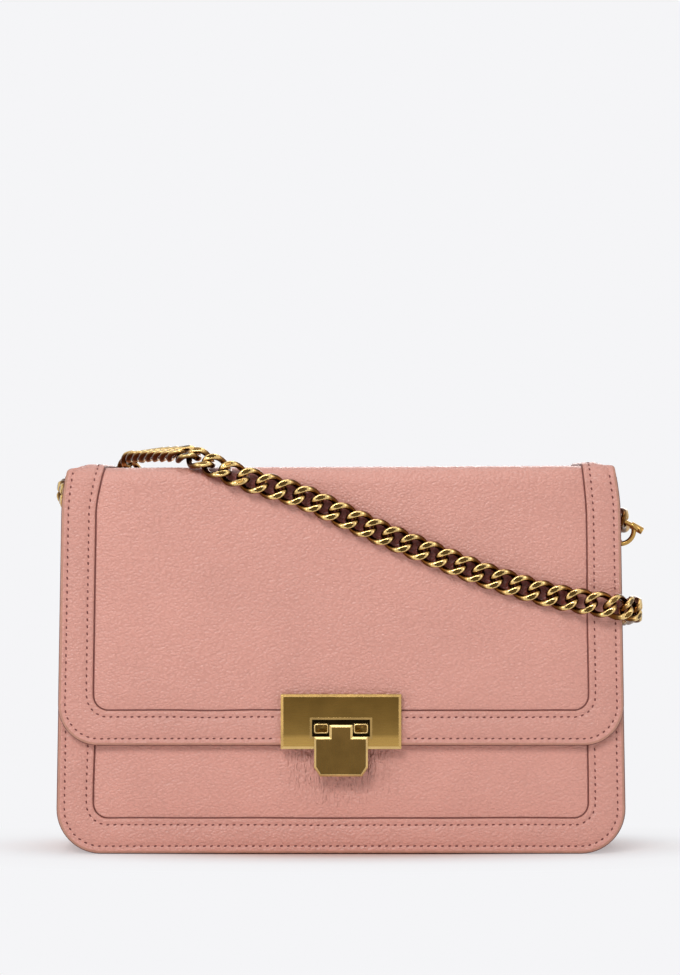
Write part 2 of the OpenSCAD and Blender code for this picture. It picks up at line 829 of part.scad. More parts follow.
front_route = concat(
    [for (p = top_run_shares) [[p[0] * body_w, p[1] * body_d, over_top], out_top]],
    [for (p = bend_run_shares) [
        [
            p[0] * body_w,
            bend_y - (flap_bend_r + chain_rise) * cos(p[1]),
            bend_z + (flap_bend_r + chain_rise) * sin(p[1])
        ],
        [0, -cos(p[1]), sin(p[1])]
    ]],
    [for (p = front_run_shares) [[p[0] * body_w, down_front, p[1] * body_h], out_front]],
    [for (angle = front_arc_angles)
        corner_place(wrap_x, wrap_y, body_h * wrap_share(0.5 + angle / 180), angle)],
    [for (share = side_run_shares)
        [[wrap_x + chain_arc_r, share * body_d, body_h * wrap_share(0.65 + share)], out_right]]
);

right_pin = ring_place(ring_right_x, ring_right_z, ring_right_turn, -0.15 * pin_half_l);
left_pin = ring_place(ring_left_x, ring_left_z, ring_left_turn, -0.14 * pin_half_l);
// A place on a ring's pin, so far along it from its middle
function ring_place(x, z, turn, along) = [
    x + along * cos(turn) - pin_rise * sin(turn),
    0,
    z + along * sin(turn) + pin_rise * cos(turn)
];
function pin_way(turn) = [cos(turn), 0, sin(turn)];
// The end link's middle lies behind the pin, which then sits in its eye
end_back = end_link_a - wire_d / 2 - 1.9 * pin_r;
ring_back_share = 0.848;
left_end_share = -0.415;

// A run from a ring lies close to the side and swings out behind the back corner instead
ring_arc_in = 1.245 * corner_in;
ring_arc_y = half_d - 0.69 * corner_in;

// The routes behind the bag are walked from the rings
right_route = concat(
    [[right_pin + [0, end_back - pitch / 2, 0], out_right]],
    [[right_pin + [wire_d / 3, end_back + pitch / 2, 0], out_right]],
    [for (angle = ring_arc_angles) corner_place(
        side_x(ring_right_z) - ring_arc_in,
        ring_arc_y,
        ring_back_share * body_h - angle / 90 * wire_d,
        angle
    )],
    [for (p = down_run_shares)
        [[p[0] * body_w, behind + p[2] * chain_rise, p[1] * body_h], out_back]],
    [for (angle = [180:-30:0]) [
        [
            loop_middle_shares[0] * body_w + loop_r * cos(angle),
            behind,
            loop_middle_shares[1] * body_h - loop_r * sin(angle)
        ],
        out_back
    ]],
    [for (p = up_run_shares) [[p[0] * body_w, behind, p[1] * body_h], out_back]],
    [for (angle = back_arc_angles) corner_place(
        side_x(wrap_back_share * body_h) - corner_in,
        back_wrap_y,
        body_h * (wrap_back_share - drop_share * angle / 90),
        angle
    )]
);

left_route = concat(
    [[left_pin + [0, end_back - pitch / 2, 0], out_left]],
    [[left_pin + [-wire_d / 2, end_back + pitch / 2, wire_d / 3], out_left]],
    [for (angle = ring_arc_angles) corner_place(
        ring_arc_in - side_x(ring_left_z),
        ring_arc_y,
        left_pin[2] + wire_d * (1.2 + angle / 90),
        180 - angle
    )],
    [[[left_end_share * body_w, half_d + 3 * chain_rise, left_pin[2] + 2.8 * wire_d], out_back]]
);

// From the middle of an end link, which is longer than the others, to the middle of the next
first_link = pitch + end_link_a - link_a;

module chain_front() {
    chain(front_route, 0);
}

module chain_back_left() {
    chain(left_route, first_link);
}

module end_link_left() {
    end_link(left_route, pin_way(ring_left_turn));
}

module chain_back_right() {
    chain(right_route, first_link);
}

module end_link_right() {
    end_link(right_route, pin_way(ring_right_turn));
}

front_panel();
front_frame();
front_board();
front_lining();
back_panel();
back_board();
back_lining();
gusset_left();
gusset_right();
gusset_lining_left();
gusset_lining_right();
base_panel();
base_board();
base_lining();
tab_left();
tab_right();
lock_catch();
lock_magnet();
chain_back_left();
chain_back_right();
end_link_left();
end_link_right();
flap_panel();
flap_frame();
flap_board();
flap_lining();
lock_plate();
lock_back_plate();
lock_pin();
lock_screws();
chain_front();
lock_lever();
ring_left();
ring_pin_left();
ring_right();
ring_pin_right();
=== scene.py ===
"""The looks of a chain shoulder bag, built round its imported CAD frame. Sizes are in millimetres."""

import math

import bmesh
import bpy
import numpy as np
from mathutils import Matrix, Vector


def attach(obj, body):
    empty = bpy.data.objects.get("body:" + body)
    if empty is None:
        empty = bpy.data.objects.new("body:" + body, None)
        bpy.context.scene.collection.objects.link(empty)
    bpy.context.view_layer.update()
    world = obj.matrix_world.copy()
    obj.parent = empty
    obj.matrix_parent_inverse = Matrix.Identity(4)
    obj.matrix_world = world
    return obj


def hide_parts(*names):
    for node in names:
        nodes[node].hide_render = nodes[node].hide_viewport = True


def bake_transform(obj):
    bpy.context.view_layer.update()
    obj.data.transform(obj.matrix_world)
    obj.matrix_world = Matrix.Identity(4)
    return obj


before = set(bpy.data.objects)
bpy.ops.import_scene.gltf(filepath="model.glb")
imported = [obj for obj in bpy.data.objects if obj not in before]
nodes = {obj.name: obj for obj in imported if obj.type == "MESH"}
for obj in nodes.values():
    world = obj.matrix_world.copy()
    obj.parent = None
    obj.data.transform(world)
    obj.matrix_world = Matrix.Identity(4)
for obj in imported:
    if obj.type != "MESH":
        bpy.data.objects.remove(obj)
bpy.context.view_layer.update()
scene = bpy.context.scene
MM = 0.001

# The body, its corners, its leather and the gussets' fold, as in the part's source
BODY_W, TOP_W, BODY_H, HALF_D = 260, 254, 178.5, 35
CORNER_R, SEAM_R = 20, 7
LEATHER_T, BAND_T, BAND_W = 1.6, 1.0, 16.3
WALL_Y = HALF_D - LEATHER_T
TILT = math.atan((BODY_W - TOP_W) / 2 / BODY_H)
GUSSET_TOP, FOLD_D, FOLD_LOW = 173.3, 17, 35

# The flap: its outline, the inner faces of its front and top, its thickness and its bend
FLAP_LOW, FLAP_BAND_W, FLAP_INSET, FLAP_CORNER_R = 50.2, 15.6, 0.2, 18
FLAP_IN_Y, FLAP_IN_Z, FLAP_IN_R = 36.4, 174.3, 4.8
FLAP_T, LEATHER_OUT, TOP_HALF_W = 4.2, 3.2, 120.5
BEND_Z, BEND_Y, BEND_R = FLAP_IN_Z - FLAP_IN_R, FLAP_IN_R - FLAP_IN_Y, 9.0

# How far the leather's own edge leans in at the top, and the heights over which it does
LEAN, LEAN_FROM, LEAN_OVER = 1.9, 156, 24

# How far a panel runs on under its band, and how high stitches lie on a band
UNDER_BAND = 1.5
STITCH_H = BAND_T - 0.12


def smooth(x):
    """An even rise from 0 to 1."""
    x = np.clip(x, 0, 1)
    return x * x * (3 - 2 * x)


def cos_sin(angle):
    """The cosine and sine of an angle in degrees."""
    return math.cos(math.radians(angle)), math.sin(math.radians(angle))


def side_x(z):
    """Half the width of the body at a height."""
    return BODY_W / 2 - z * math.tan(TILT)


def edge_x(z):
    """The leather's own edge, which leans in a little towards the top."""
    return side_x(z) - LEAN * float(smooth((z - LEAN_FROM) / LEAN_OVER))


def waves(a, b, size, seed):
    """A smooth random height, mostly between -1 and 1, whose bumps are about size across."""
    rng = np.random.default_rng(seed)
    total = 0
    for _ in range(8):
        angle, phase = rng.uniform(0, 2 * math.pi, 2)
        k = 2 * math.pi / (size * rng.uniform(0.7, 1.7))
        total = total + np.sin(k * (a * math.cos(angle) + b * math.sin(angle)) + phase)
    return total / 4


# Materials
class Tree:
    """The node tree of a material or the world, with short calls to add and link nodes."""

    def __init__(self, owner):
        owner.use_nodes = True
        self.nodes = owner.node_tree.nodes
        self.links = owner.node_tree.links

    def add(self, kind, **values):
        node = self.nodes.new(kind)
        for key, value in values.items():
            if hasattr(node, key):
                setattr(node, key, value)
            else:
                node.inputs[key.replace("_", " ")].default_value = value
        return node

    def link(self, source, target):
        self.links.new(source, target)

    def give(self, socket, value):
        """Sets an input to a value, or links it when the value is another node's output."""
        if isinstance(value, (int, float, tuple)):
            socket.default_value = value
        else:
            self.link(value, socket)

    def math(self, operation, a, b):
        node = self.add("ShaderNodeMath", operation=operation)
        for socket, value in zip(node.inputs, (a, b)):
            self.give(socket, value)
        return node.outputs[0]

    def evenly_seen(self, share, first, second, output):
        """Shows a second shader in place of a first by a share, to the camera and in reflections."""
        rays = self.add("ShaderNodeLightPath").outputs
        seen = self.math("MAXIMUM", rays["Is Camera Ray"], rays["Is Glossy Ray"])
        seen = self.math("MAXIMUM", seen, rays["Is Transmission Ray"])
        if share is not None:
            seen = self.math("MULTIPLY", seen, share)
        mix = self.add("ShaderNodeMixShader")
        for source, socket in zip((seen, first, second), mix.inputs):
            self.link(source, socket)
        self.link(mix.outputs["Shader"], self.nodes[output].inputs["Surface"])


class Shader(Tree):
    """A material, with short calls for its patterns and bumps."""

    def __init__(self, name):
        self.material = bpy.data.materials.new(name)
        super().__init__(self.material)
        self.bsdf = self.nodes["Principled BSDF"]
        self.coords = self.add("ShaderNodeTexCoord").outputs["Object"]

    def stretched(self, scale, rotation=(0, 0, 0)):
        node = self.add("ShaderNodeMapping", Scale=scale, Rotation=rotation)
        self.link(self.coords, node.inputs["Vector"])
        return node.outputs["Vector"]

    def noise(self, scale, detail=2.0, vector=None):
        node = self.add("ShaderNodeTexNoise", Scale=scale, Detail=detail)
        self.link(vector or self.coords, node.inputs["Vector"])
        return node.outputs["Fac"]

    def cells(self, scale, vector, **values):
        node = self.add("ShaderNodeTexVoronoi", Scale=scale, **values)
        self.link(vector, node.inputs["Vector"])
        return node.outputs["Distance"]

    def ramp(self, source, stops):
        node = self.add("ShaderNodeValToRGB")
        elements = node.color_ramp.elements
        while len(elements) < len(stops):
            elements.new(0.5)
        for element, (position, value) in zip(elements, stops):
            element.position = position
            value = value if isinstance(value, tuple) else (value, value, value)
            element.color = (*value, 1)
        self.link(source, node.inputs["Fac"])
        return node.outputs["Color"]

    def mix(self, blend, share, a, b):
        node = self.add("ShaderNodeMix", data_type="RGBA", blend_type=blend)
        for socket, value in zip((node.inputs[0], node.inputs[6], node.inputs[7]), (share, a, b)):
            self.give(socket, (*value, 1) if isinstance(value, tuple) else value)
        return node.outputs[2]

    def bump(self, height, strength, distance, normal=None):
        node = self.add("ShaderNodeBump", Strength=strength, Distance=distance)
        self.link(height, node.inputs["Height"])
        if normal is not None:
            self.link(normal, node.inputs["Normal"])
        return node.outputs["Normal"]

    def set(self, **values):
        for key, value in values.items():
            self.give(self.bsdf.inputs[key.replace("_", " ")], value)


def linear(r, g, b):
    """An sRGB colour of 0 to 255 as linear numbers."""
    return tuple(
        c / 255 / 12.92 if c <= 10.3 else ((c / 255 + 0.055) / 1.055) ** 2.4 for c in (r, g, b)
    )


def scaled(colour, k):
    return tuple(min(1.0, c * k) for c in colour)


PINK = linear(219, 156, 141)
WHITE = (1.0, 1.0, 1.0)
# The tint of the painted shade on leather that lies under the chain
CHAIN_SHADE_TINT = (0.31, 0.12, 0.09)


def leather(name, colour, grain=0.8, wrinkles=None):
    """Pebbled leather: small round cells and fine creases, lighter and darker in soft patches, and
    dark where its mesh is marked as lying under the chain, as painted shade. Wrinkles are fine upright
    lines round a place."""
    s = Shader(name)
    slanted = s.stretched((1.0, 1.0, 1.35), (0, math.radians(28), 0))
    pebbles = s.cells(690, slanted, feature="SMOOTH_F1", Smoothness=0.1)
    domes = s.ramp(pebbles, [(0.0, 1.0), (0.3, 0.84), (0.55, 0.4), (0.8, 0.0)])
    fine = s.cells(1500, slanted)
    creases = s.noise(240, 2.0, s.stretched((1.5, 1.5, 0.6), (0, math.radians(-35), 0)))
    patches = s.noise(38, 3.0)
    tone = s.math("ADD", s.math("MULTIPLY", patches, 0.6), s.math("MULTIPLY", domes, 0.3))
    tint = s.ramp(tone, [(0.2, scaled(colour, 0.92)), (0.5, colour), (0.8, scaled(colour, 1.05))])
    # Painted shade: darker where the mesh is marked as lying under the chain
    chain_shade = s.add("ShaderNodeAttribute", attribute_name="chain_shade").outputs["Fac"]
    s.set(Base_Color=s.mix("MULTIPLY", 1.0, tint, s.ramp(chain_shade, [(0.0, WHITE), (1.0, CHAIN_SHADE_TINT)])))
    s.set(Roughness=s.ramp(s.noise(420), [(0.35, 0.31), (0.7, 0.46)]))
    s.set(Specular_IOR_Level=0.5, Sheen_Weight=0.04, Sheen_Roughness=0.4)
    normal = s.bump(creases, 0.05 * grain, 0.0006)
    normal = s.bump(domes, 0.75 * grain, 0.0004, normal)
    normal = s.bump(fine, 0.15 * grain, 0.0003, normal)
    if wrinkles:
        centre, reach = wrinkles
        where = s.add("ShaderNodeMapping", vector_type="TEXTURE", Location=centre, Scale=reach)
        s.link(s.coords, where.inputs["Vector"])
        ball = s.add("ShaderNodeTexGradient", gradient_type="SPHERICAL")
        s.link(where.outputs["Vector"], ball.inputs["Vector"])
        lines = s.noise(820, 1.0, s.stretched((1.0, 1.0, 0.32), (0, math.radians(5), 0)))
        lines = s.ramp(lines, [(0.36, 0.0), (0.64, 1.0)])
        height = s.math("MULTIPLY", lines, s.ramp(ball.outputs["Fac"], [(0.0, 0.0), (0.6, 1.0)]))
        normal = s.bump(height, 1.0, 0.0007, normal)
    s.set(Normal=normal)
    return s.material


def edge_paint(name, colour):
    """The smooth paint on cut edges of leather."""
    s = Shader(name)
    s.set(Base_Color=s.ramp(s.noise(300, 3.0), [(0.3, scaled(colour, 0.85)), (0.7, colour)]))
    s.set(Roughness=0.38, Normal=s.bump(s.noise(700), 0.3, 0.0003))
    return s.material


def cloth(name, colour):
    """A woven lining: two crossed sets of fine threads."""
    s = Shader(name)
    threads = []
    for axis in ("X", "Z"):
        wave = s.add("ShaderNodeTexWave", bands_direction=axis, Scale=420.0, Distortion=0.6)
        s.link(s.coords, wave.inputs["Vector"])
        threads.append(wave.outputs["Fac"])
    weave = s.math("MULTIPLY", threads[0], threads[1])
    worn = s.math("ADD", weave, s.math("MULTIPLY", s.noise(45, 3.0), 0.6))
    s.set(Base_Color=s.ramp(worn, [(0.1, scaled(colour, 0.6)), (0.9, scaled(colour, 1.15))]))
    s.set(Roughness=0.85, Sheen_Weight=0.25, Normal=s.bump(weave, 0.5, 0.0002))
    return s.material


def metal(name, colour, rough=(0.22, 0.36), brushed=None, dents=0.12, worn=None, lower_light=None):
    """Antique gold: brushed or polished, darker in patches, with fine scratches. Given a colour for
    its hollows, it is painted darker there as shade, and given a lower light it is painted lighter towards
    its lower end as a reflection."""
    s = Shader(name)
    patches = s.ramp(s.noise(120, 4.0), [(0.3, scaled(colour, 0.78)), (0.65, colour)])
    # Painted shade: darker towards each link's sides, in the hollows between links
    if worn:
        hollow_shade = s.add("ShaderNodeAttribute", attribute_name="hollow_shade")
        half = tuple(0.4 * c + 0.15 for c in worn)
        shades = s.ramp(hollow_shade.outputs["Fac"], [(0.1, worn), (0.5, half), (0.95, WHITE)])
        patches = s.mix("MULTIPLY", 1.0, patches, shades)
    # Painted reflection: lighter towards the lower end
    if lower_light:
        light, low, high = lower_light
        z = s.add("ShaderNodeSeparateXYZ")
        s.link(s.coords, z.inputs["Vector"])
        share = s.math("DIVIDE", s.math("SUBTRACT", z.outputs["Z"], low * MM), (high - low) * MM)
        share = s.ramp(share, [(0.0, 1.0), (0.17, 0.85), (0.24, 0.35), (0.5, 0.14), (1.0, 0.0)])
        patches = s.mix("MIX", share, patches, light)
    s.set(Base_Color=patches, Metallic=1.0)
    scratches = s.noise(900, 3.0, s.stretched(brushed or (1.0, 0.6, 1.0)))
    s.set(Roughness=s.ramp(scratches, [(0.3, rough[0]), (0.75, rough[1])]))
    normal = s.bump(scratches, 0.25 if brushed else 0.08, 0.00006)
    s.set(Normal=s.bump(s.noise(160), dents, 0.0004, normal))
    return s.material


def thread(name, colour):
    """Twisted sewing thread."""
    s = Shader(name)
    twist = s.add("ShaderNodeTexWave", Scale=1400.0, Distortion=1.5)
    s.link(s.coords, twist.inputs["Vector"])
    s.set(Base_Color=s.ramp(twist.outputs["Fac"], [(0.2, scaled(colour, 0.6)), (0.8, colour)]))
    s.set(Roughness=0.6, Normal=s.bump(twist.outputs["Fac"], 0.4, 0.0001))
    return s.material


def board(name, colour):
    """Fibre board."""
    s = Shader(name)
    fibres = s.noise(260, 5.0, s.stretched((1.0, 1.0, 0.4)))
    s.set(Base_Color=s.ramp(fibres, [(0.3, scaled(colour, 0.8)), (0.7, colour)]))
    s.set(Roughness=0.9, Normal=s.bump(fibres, 0.3, 0.0003))
    return s.material


FIELD = leather("field_leather", PINK, 0.85)
FRONT_FIELD = leather(
    "front_field_leather", PINK, wrinkles=((0, -0.036, 0.040), (0.032, 0.02, 0.024))
)
BAND = leather("band_leather", scaled(PINK, 0.95))
SIDE = leather("side_leather", scaled(PINK, 0.93))
EDGE = edge_paint("edge_paint", linear(198, 143, 122))
# Dark edge paint, also used as painted shade: the line along a band's step and the strip of painted shadow
# under its outer edge
SEAM_PAINT_AND_SHADE = edge_paint("seam_paint_and_shade", linear(118, 60, 52))
LINING = cloth("lining_cloth", linear(122, 66, 68))
THREAD = thread("maroon_thread", linear(122, 60, 55))
BOARD = board("board_fibre", linear(190, 170, 142))
# The chain's gold, painted darker in its hollows as shade
CHAIN = metal("chain_gold", linear(206, 163, 100), (0.12, 0.24), dents=0.2, worn=(0.20, 0.115, 0.06))
# The ground flats, painted dark as a reflection
FLAT_DARK_REFLECTION = metal("chain_flats_dark_reflection", linear(92, 69, 34), (0.16, 0.28), dents=0.1)
# Polished rims and edges, painted lighter than the gold as a highlight
RIM_HIGHLIGHT = metal("polished_rims_highlight", linear(232, 198, 132), (0.14, 0.24), dents=0.0)
# Bevels and the slot's rim, painted lighter than the lock's gold as a highlight
BEVEL = metal("bevel_gold_highlight", linear(182, 148, 90), (0.2, 0.3), dents=0.0)
# The slot's hollow, painted near black as shade
SLOT_SHADE = metal("slot_painted_shade", linear(40, 30, 16), (0.4, 0.6))
# The lock's and lever's gold is painted dark as a reflection, and the plate is painted lighter towards its
# lower end as a reflection
LOCK = metal(
    "lock_gold", linear(109, 82, 38), (0.20, 0.34), (0.15, 1.0, 2.2), 0.05,
    lower_light=(linear(184, 147, 80), 49.5, 74.0),
)
LEVER = metal("lever_gold", linear(118, 90, 46), (0.20, 0.34), (1.4, 1.0, 0.3), 0.05)
PIN = metal("pin_gold", linear(150, 116, 62))
RING = metal("ring_gold", linear(190, 150, 84), (0.14, 0.26))
MAGNET = metal("magnet_steel", linear(150, 152, 158), (0.3, 0.45))


# Meshes
def new_object(name, points, faces, materials, indices=None):
    mesh = bpy.data.meshes.new(name)
    mesh.from_pydata((np.asarray(points, float).reshape(-1, 3) * MM).tolist(), [], faces)
    for material in materials:
        mesh.materials.append(material)
    if indices is not None:
        mesh.polygons.foreach_set("material_index", list(indices))
    mesh.polygons.foreach_set("use_smooth", [True] * len(mesh.polygons))
    mesh.update()
    obj = bpy.data.objects.new(name, mesh)
    scene.collection.objects.link(obj)
    return obj


def finish_piece(obj, body, slot, *replaced):
    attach(obj, body)
    if replaced:
        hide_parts(*replaced)


def grid_faces(rows, cols, wrap=False):
    last = cols if wrap else cols - 1
    return [
        (i * cols + j, (i + 1) * cols + j, (i + 1) * cols + (j + 1) % cols, i * cols + (j + 1) % cols)
        for i in range(rows - 1)
        for j in range(last)
    ]


def soften(obj, width, angle):
    """Rounds the edges that are sharper than an angle."""
    mod = obj.modifiers.new("soft_edges", "BEVEL")
    mod.width = width * MM
    mod.segments = 2
    mod.limit_method = "ANGLE"
    mod.angle_limit = math.radians(angle)
    mod.harden_normals = True
    return obj


def sheet(name, points, material, edge, thickness, outward):
    """A sheet of leather or cloth whose outer face is a grid of points."""
    points = np.asarray(points, float)
    rows, cols = points.shape[:2]
    i, j = rows // 2, cols // 2
    normal = np.cross(points[i + 1, j] - points[i, j], points[i, j + 1] - points[i, j])
    if normal @ np.asarray(outward, float) < 0:
        points = points[:, ::-1]
    obj = new_object(name, points, grid_faces(rows, cols), [material, edge])
    thick = obj.modifiers.new("thickness", "SOLIDIFY")
    thick.thickness = thickness * MM
    thick.offset = -1
    thick.use_even_offset = True
    thick.material_offset_rim = 1
    return soften(obj, min(0.35, thickness * 0.3), 50)


def lined(name, points, thickness, outward, body, replaced):
    """A sheet of lining cloth."""
    finish_piece(sheet(name, points, LINING, LINING, thickness, outward), body, "lining", replaced)


def between(outer, inner, distance, share):
    """The line that lies a distance and a share of the width in from an outline to an inner one."""
    width = np.linalg.norm(inner - outer, axis=1)[:, None]
    return outer + (inner - outer) / width * (distance + share * width)


def placed(place, flat, height):
    """The points of a flat line, put in place at a height."""
    return place(flat[:, 0], flat[:, 1], height)


# The materials of a band's faces, as indices: leather, painted edge and a dark strip of painted shadow
# under the edge
FACE, PAINT, SHADOW_STRIP = range(3)


def loft(name, outer, inner, section, place):
    """A closed band between two outlines drawn on the flat. Each entry of the section is (distance,
    share of the width, height, material of the face that follows)."""
    rings = [placed(place, between(outer, inner, d, share), height) for d, share, height, _ in section]
    points = np.stack(rings, axis=1)
    rows, cols = points.shape[:2]
    faces = grid_faces(rows, cols, wrap=True)
    indices = [section[k % cols][3] for k in range(len(faces))]
    faces += [tuple(range(cols)), tuple((rows - 1) * cols + k for k in range(cols))]
    indices += [PAINT, PAINT]
    obj = new_object(name, points, faces, [BAND, EDGE, SEAM_PAINT_AND_SHADE], indices)
    work = bmesh.new()
    work.from_mesh(obj.data)
    bmesh.ops.recalc_face_normals(work, faces=work.faces)
    work.to_mesh(obj.data)
    work.free()
    return obj


def tube(name, path, radius, material):
    """A round cord along a path."""
    sides = 8
    along = np.gradient(path, axis=0)
    along /= np.linalg.norm(along, axis=1)[:, None]
    aside = [0.21, 0.95, 0.17]
    ups = np.cross(along, np.cross(aside, along))
    ups /= np.linalg.norm(ups, axis=1)[:, None]
    across = np.cross(along, ups)
    angles = np.arange(sides) * 2 * math.pi / sides
    ring = [path + radius * (math.cos(a) * ups + math.sin(a) * across) for a in angles]
    points = np.stack(ring, axis=1)
    faces = grid_faces(len(path), sides, wrap=True)
    faces += [tuple(range(sides)), tuple((len(path) - 1) * sides + k for k in range(sides))[::-1]]
    return new_object(name, points, faces, [material])


def unit(v):
    v = np.asarray(v, float)
    return v / np.linalg.norm(v)


def lengths_along(path):
    """How far along a path each of its points lies."""
    return np.concatenate([[0], np.cumsum(np.linalg.norm(np.diff(path, axis=0), axis=1))])


def at(d, lengths, table):
    """The row of a table that belongs to a distance along its path."""
    return np.array([np.interp(d, lengths, table[:, k]) for k in range(3)])


def spline(p0, p1, p2, p3, t):
    """A place on a smooth curve through four points, a share t of the way from p1 to p2."""
    return 0.5 * (
        2 * p1 + (p2 - p0) * t + (2 * p0 - 5 * p1 + 4 * p2 - p3) * t * t
        + (3 * p1 - p0 - 3 * p2 + p3) * t**3
    )


# Stitches, kept by the body that they move with. Each takes its direction from a look each way
STITCH_GAP, STITCH_L, STITCH_R, STITCH_DIP, STITCH_SLANT = 3.2, 1.5, 0.32, 0.9, 10
LOOK = 0.8
stitches = {}


def stitch_row(body, path, normals):
    """Adds a row of stitches along a path to those that move with a body."""
    path = np.asarray(path, float)
    normals = np.broadcast_to(np.asarray(normals, float), path.shape)
    lengths = lengths_along(path)
    c, s = cos_sin(STITCH_SLANT)
    for d in np.arange(STITCH_GAP / 2, lengths[-1], STITCH_GAP):
        normal = at(d, lengths, normals)
        normal /= np.linalg.norm(normal)
        along = at(d + LOOK, lengths, path) - at(d - LOOK, lengths, path)
        along -= normal * (along @ normal)
        along /= np.linalg.norm(along)
        across = np.cross(normal, along)
        directions = np.array([c * along + s * across, c * across - s * along, normal])
        stitches.setdefault(body, []).append((at(d, lengths, path), directions))


def stitch_mesh(name, rows):
    """One mesh of many stitches, whose thin ends dip into the leather."""
    sides, rings = 6, [(-0.5, 0.0), (-0.42, 0.75), (-0.2, 1.0), (0.2, 1.0), (0.42, 0.75), (0.5, 0.0)]
    template = []
    for share, size in rings:
        for k in range(sides):
            a = 2 * math.pi * k / sides
            width, height = size * STITCH_R * math.cos(a), size * STITCH_R * math.sin(a)
            template.append((share * STITCH_L, width, height - STITCH_DIP * share**2))
    template = np.array(template)
    base = np.array(grid_faces(len(rings), sides, wrap=True))
    points = [place + template @ directions for place, directions in rows]
    faces = [base + n * len(template) for n in range(len(rows))]
    return new_object(name, np.concatenate(points), np.concatenate(faces).tolist(), [THREAD])


# Outlines on the flat
def corner_centre(inset, low, corner):
    """The middle of the arc at the lower right corner, as x and z."""
    return side_x(low + corner) - (inset + corner) / math.cos(TILT), low + corner


def half_outline(inset, low, corner, side_values):
    """From the middle of the base round one lower corner and up the side, as x and z."""
    base_steps, arc_steps = 64, 14
    centre_x, centre_z = corner_centre(inset, low, corner)
    base = [(centre_x * k / base_steps, low) for k in range(base_steps)]
    quarter = math.radians(90)
    angles = [-quarter + (quarter + TILT) * k / arc_steps for k in range(arc_steps + 1)]
    arc = [(centre_x + corner * math.cos(a), centre_z + corner * math.sin(a)) for a in angles]
    return base + arc + list(side_values)


def joined(left, right):
    """One outline from a left half, drawn as if it were a right one, and a right half."""
    left, right = np.asarray(left, float), np.asarray(right, float)
    return np.concatenate([left[:0:-1] * [-1, 1], right])


def whole(half):
    return joined(half, half)


def uneven(inner, outer, width, height, size, seed):
    """A band's inner outline, a little off its line as on sewn leather."""
    wobble = height * waves(inner[:, 0], inner[:, 1], size, seed)[:, None]
    return inner + wobble * (outer - inner) / width


# How far a band's inner row of stitches lies from its inner edge, and the groove under a row
INNER_ROW, GROOVE, GROOVE_HALF_W = 2.9, 0.24, 0.8


def groove(row, share):
    """The groove that a row of stitches presses into a band."""
    floor = BAND_T - GROOVE
    return [
        (row - GROOVE_HALF_W, share, BAND_T, FACE), (row - 0.35, share, floor + 0.06, FACE),
        (row, share, floor, FACE), (row + 0.35, share, floor + 0.06, FACE),
        (row + GROOVE_HALF_W, share, BAND_T, FACE),
    ]


def band_section(bottom, outer_row):
    """A band's cross-section: a dark strip of painted shadow, which stands out a little under the edge,
    the painted edge, the face with its two grooves, and the inner edge at the seam."""
    outer_edge = [
        (-0.42, 0, bottom, SHADOW_STRIP), (-0.42, 0, bottom + 0.6, SHADOW_STRIP), (0, 0, bottom + 0.62, PAINT),
        (0, 0, 0.20, PAINT), (0.10, 0, 0.62 * BAND_T, PAINT), (0.45, 0, 0.9 * BAND_T, PAINT),
        (1.1, 0, BAND_T, FACE),
    ]
    middle = [(0, share, BAND_T + rise, FACE) for share, rise in ((0.38, 0.14), (0.5, 0.17), (0.62, 0.14))]
    inner_edge = [
        (-0.9, 1, BAND_T + 0.02, FACE), (-0.4, 1, 0.93 * BAND_T, FACE),
        (-0.08, 1, 0.7 * BAND_T, PAINT), (0, 1, 0.3 * BAND_T, PAINT), (0, 1, bottom, PAINT),
    ]
    return outer_edge + groove(outer_row, 0) + middle + groove(-INNER_ROW, 1) + inner_edge


# How far past a band's inner edge its seam lies, its height and its radius. The seam is dark edge paint
# darkened further as the painted shade of the band's step
SEAM_PAST, SEAM_H, SEAM_LINE_R = 0.30, 0.12, 0.35


def sewn_band(word, body, outer, inner, section, place, *replaced):
    """A band and the dark seam along its inner edge, edge paint darkened as the step's painted shade."""
    band = loft(f"{word}_band", outer, inner, section, place)
    finish_piece(band, body, "band_leather", *replaced)
    path = placed(place, between(outer, inner, SEAM_PAST, 1), SEAM_H)
    finish_piece(tube(f"{word}_seam", path, SEAM_LINE_R, SEAM_PAINT_AND_SHADE), body, "band_leather")
    return band


def spread(halves, heights, shares):
    """A grid of places, given as shares of half widths, and the height of each."""
    return shares[None, :] * halves, np.repeat(heights[:, None], len(shares), axis=1)


def puff(gap, reach, power=2.2):
    """How far leather has risen at a gap from its seam, from 0 at the seam to 1 at its reach."""
    return 1 - (1 - np.clip(gap / reach, 0, 1)) ** power


# Places across a leather field, as shares of half its width
SHARES = np.linspace(-1, 1, 150)

# Front of the body
FRONT_TOP, FRONT_LOW, FRONT_ROW, FRONT_REACH = 172.4, 0.5, 3.3, 13
TAPER_FROM, TAPER_OVER = 169.5, 3


def taper(z):
    """What is left of a height on the front, which is pressed flat at its top, under the flap."""
    return 1 - 0.75 * smooth((z - TAPER_FROM) / TAPER_OVER)


def place_front(x, z, height):
    """A place on the front from its flat drawing."""
    up = np.where(np.asarray(height) > 0, np.asarray(height) * taper(z), height)
    return np.stack([x, -HALF_D - up + 0 * x, z], axis=1)


side_zs = np.linspace(31, FRONT_TOP, 72)
front_outer = whole(half_outline(0, FRONT_LOW, CORNER_R, [(edge_x(z), z) for z in side_zs]))
front_inner = whole(
    half_outline(BAND_W, BAND_W, SEAM_R, [(edge_x(z) - BAND_W, z) for z in side_zs])
)
front_inner = uneven(front_inner, front_outer, BAND_W, height=0.22, size=34, seed=11)
sewn_band(
    "front", "bag", front_outer, front_inner, band_section(-LEATHER_T, FRONT_ROW), place_front,
    "front_frame",
)
for row in ((FRONT_ROW, 0), (-INNER_ROW, 1)):
    flat = between(front_outer, front_inner, *row)
    stitch_row("bag", placed(place_front, flat, STITCH_H), (0, -1, 0))

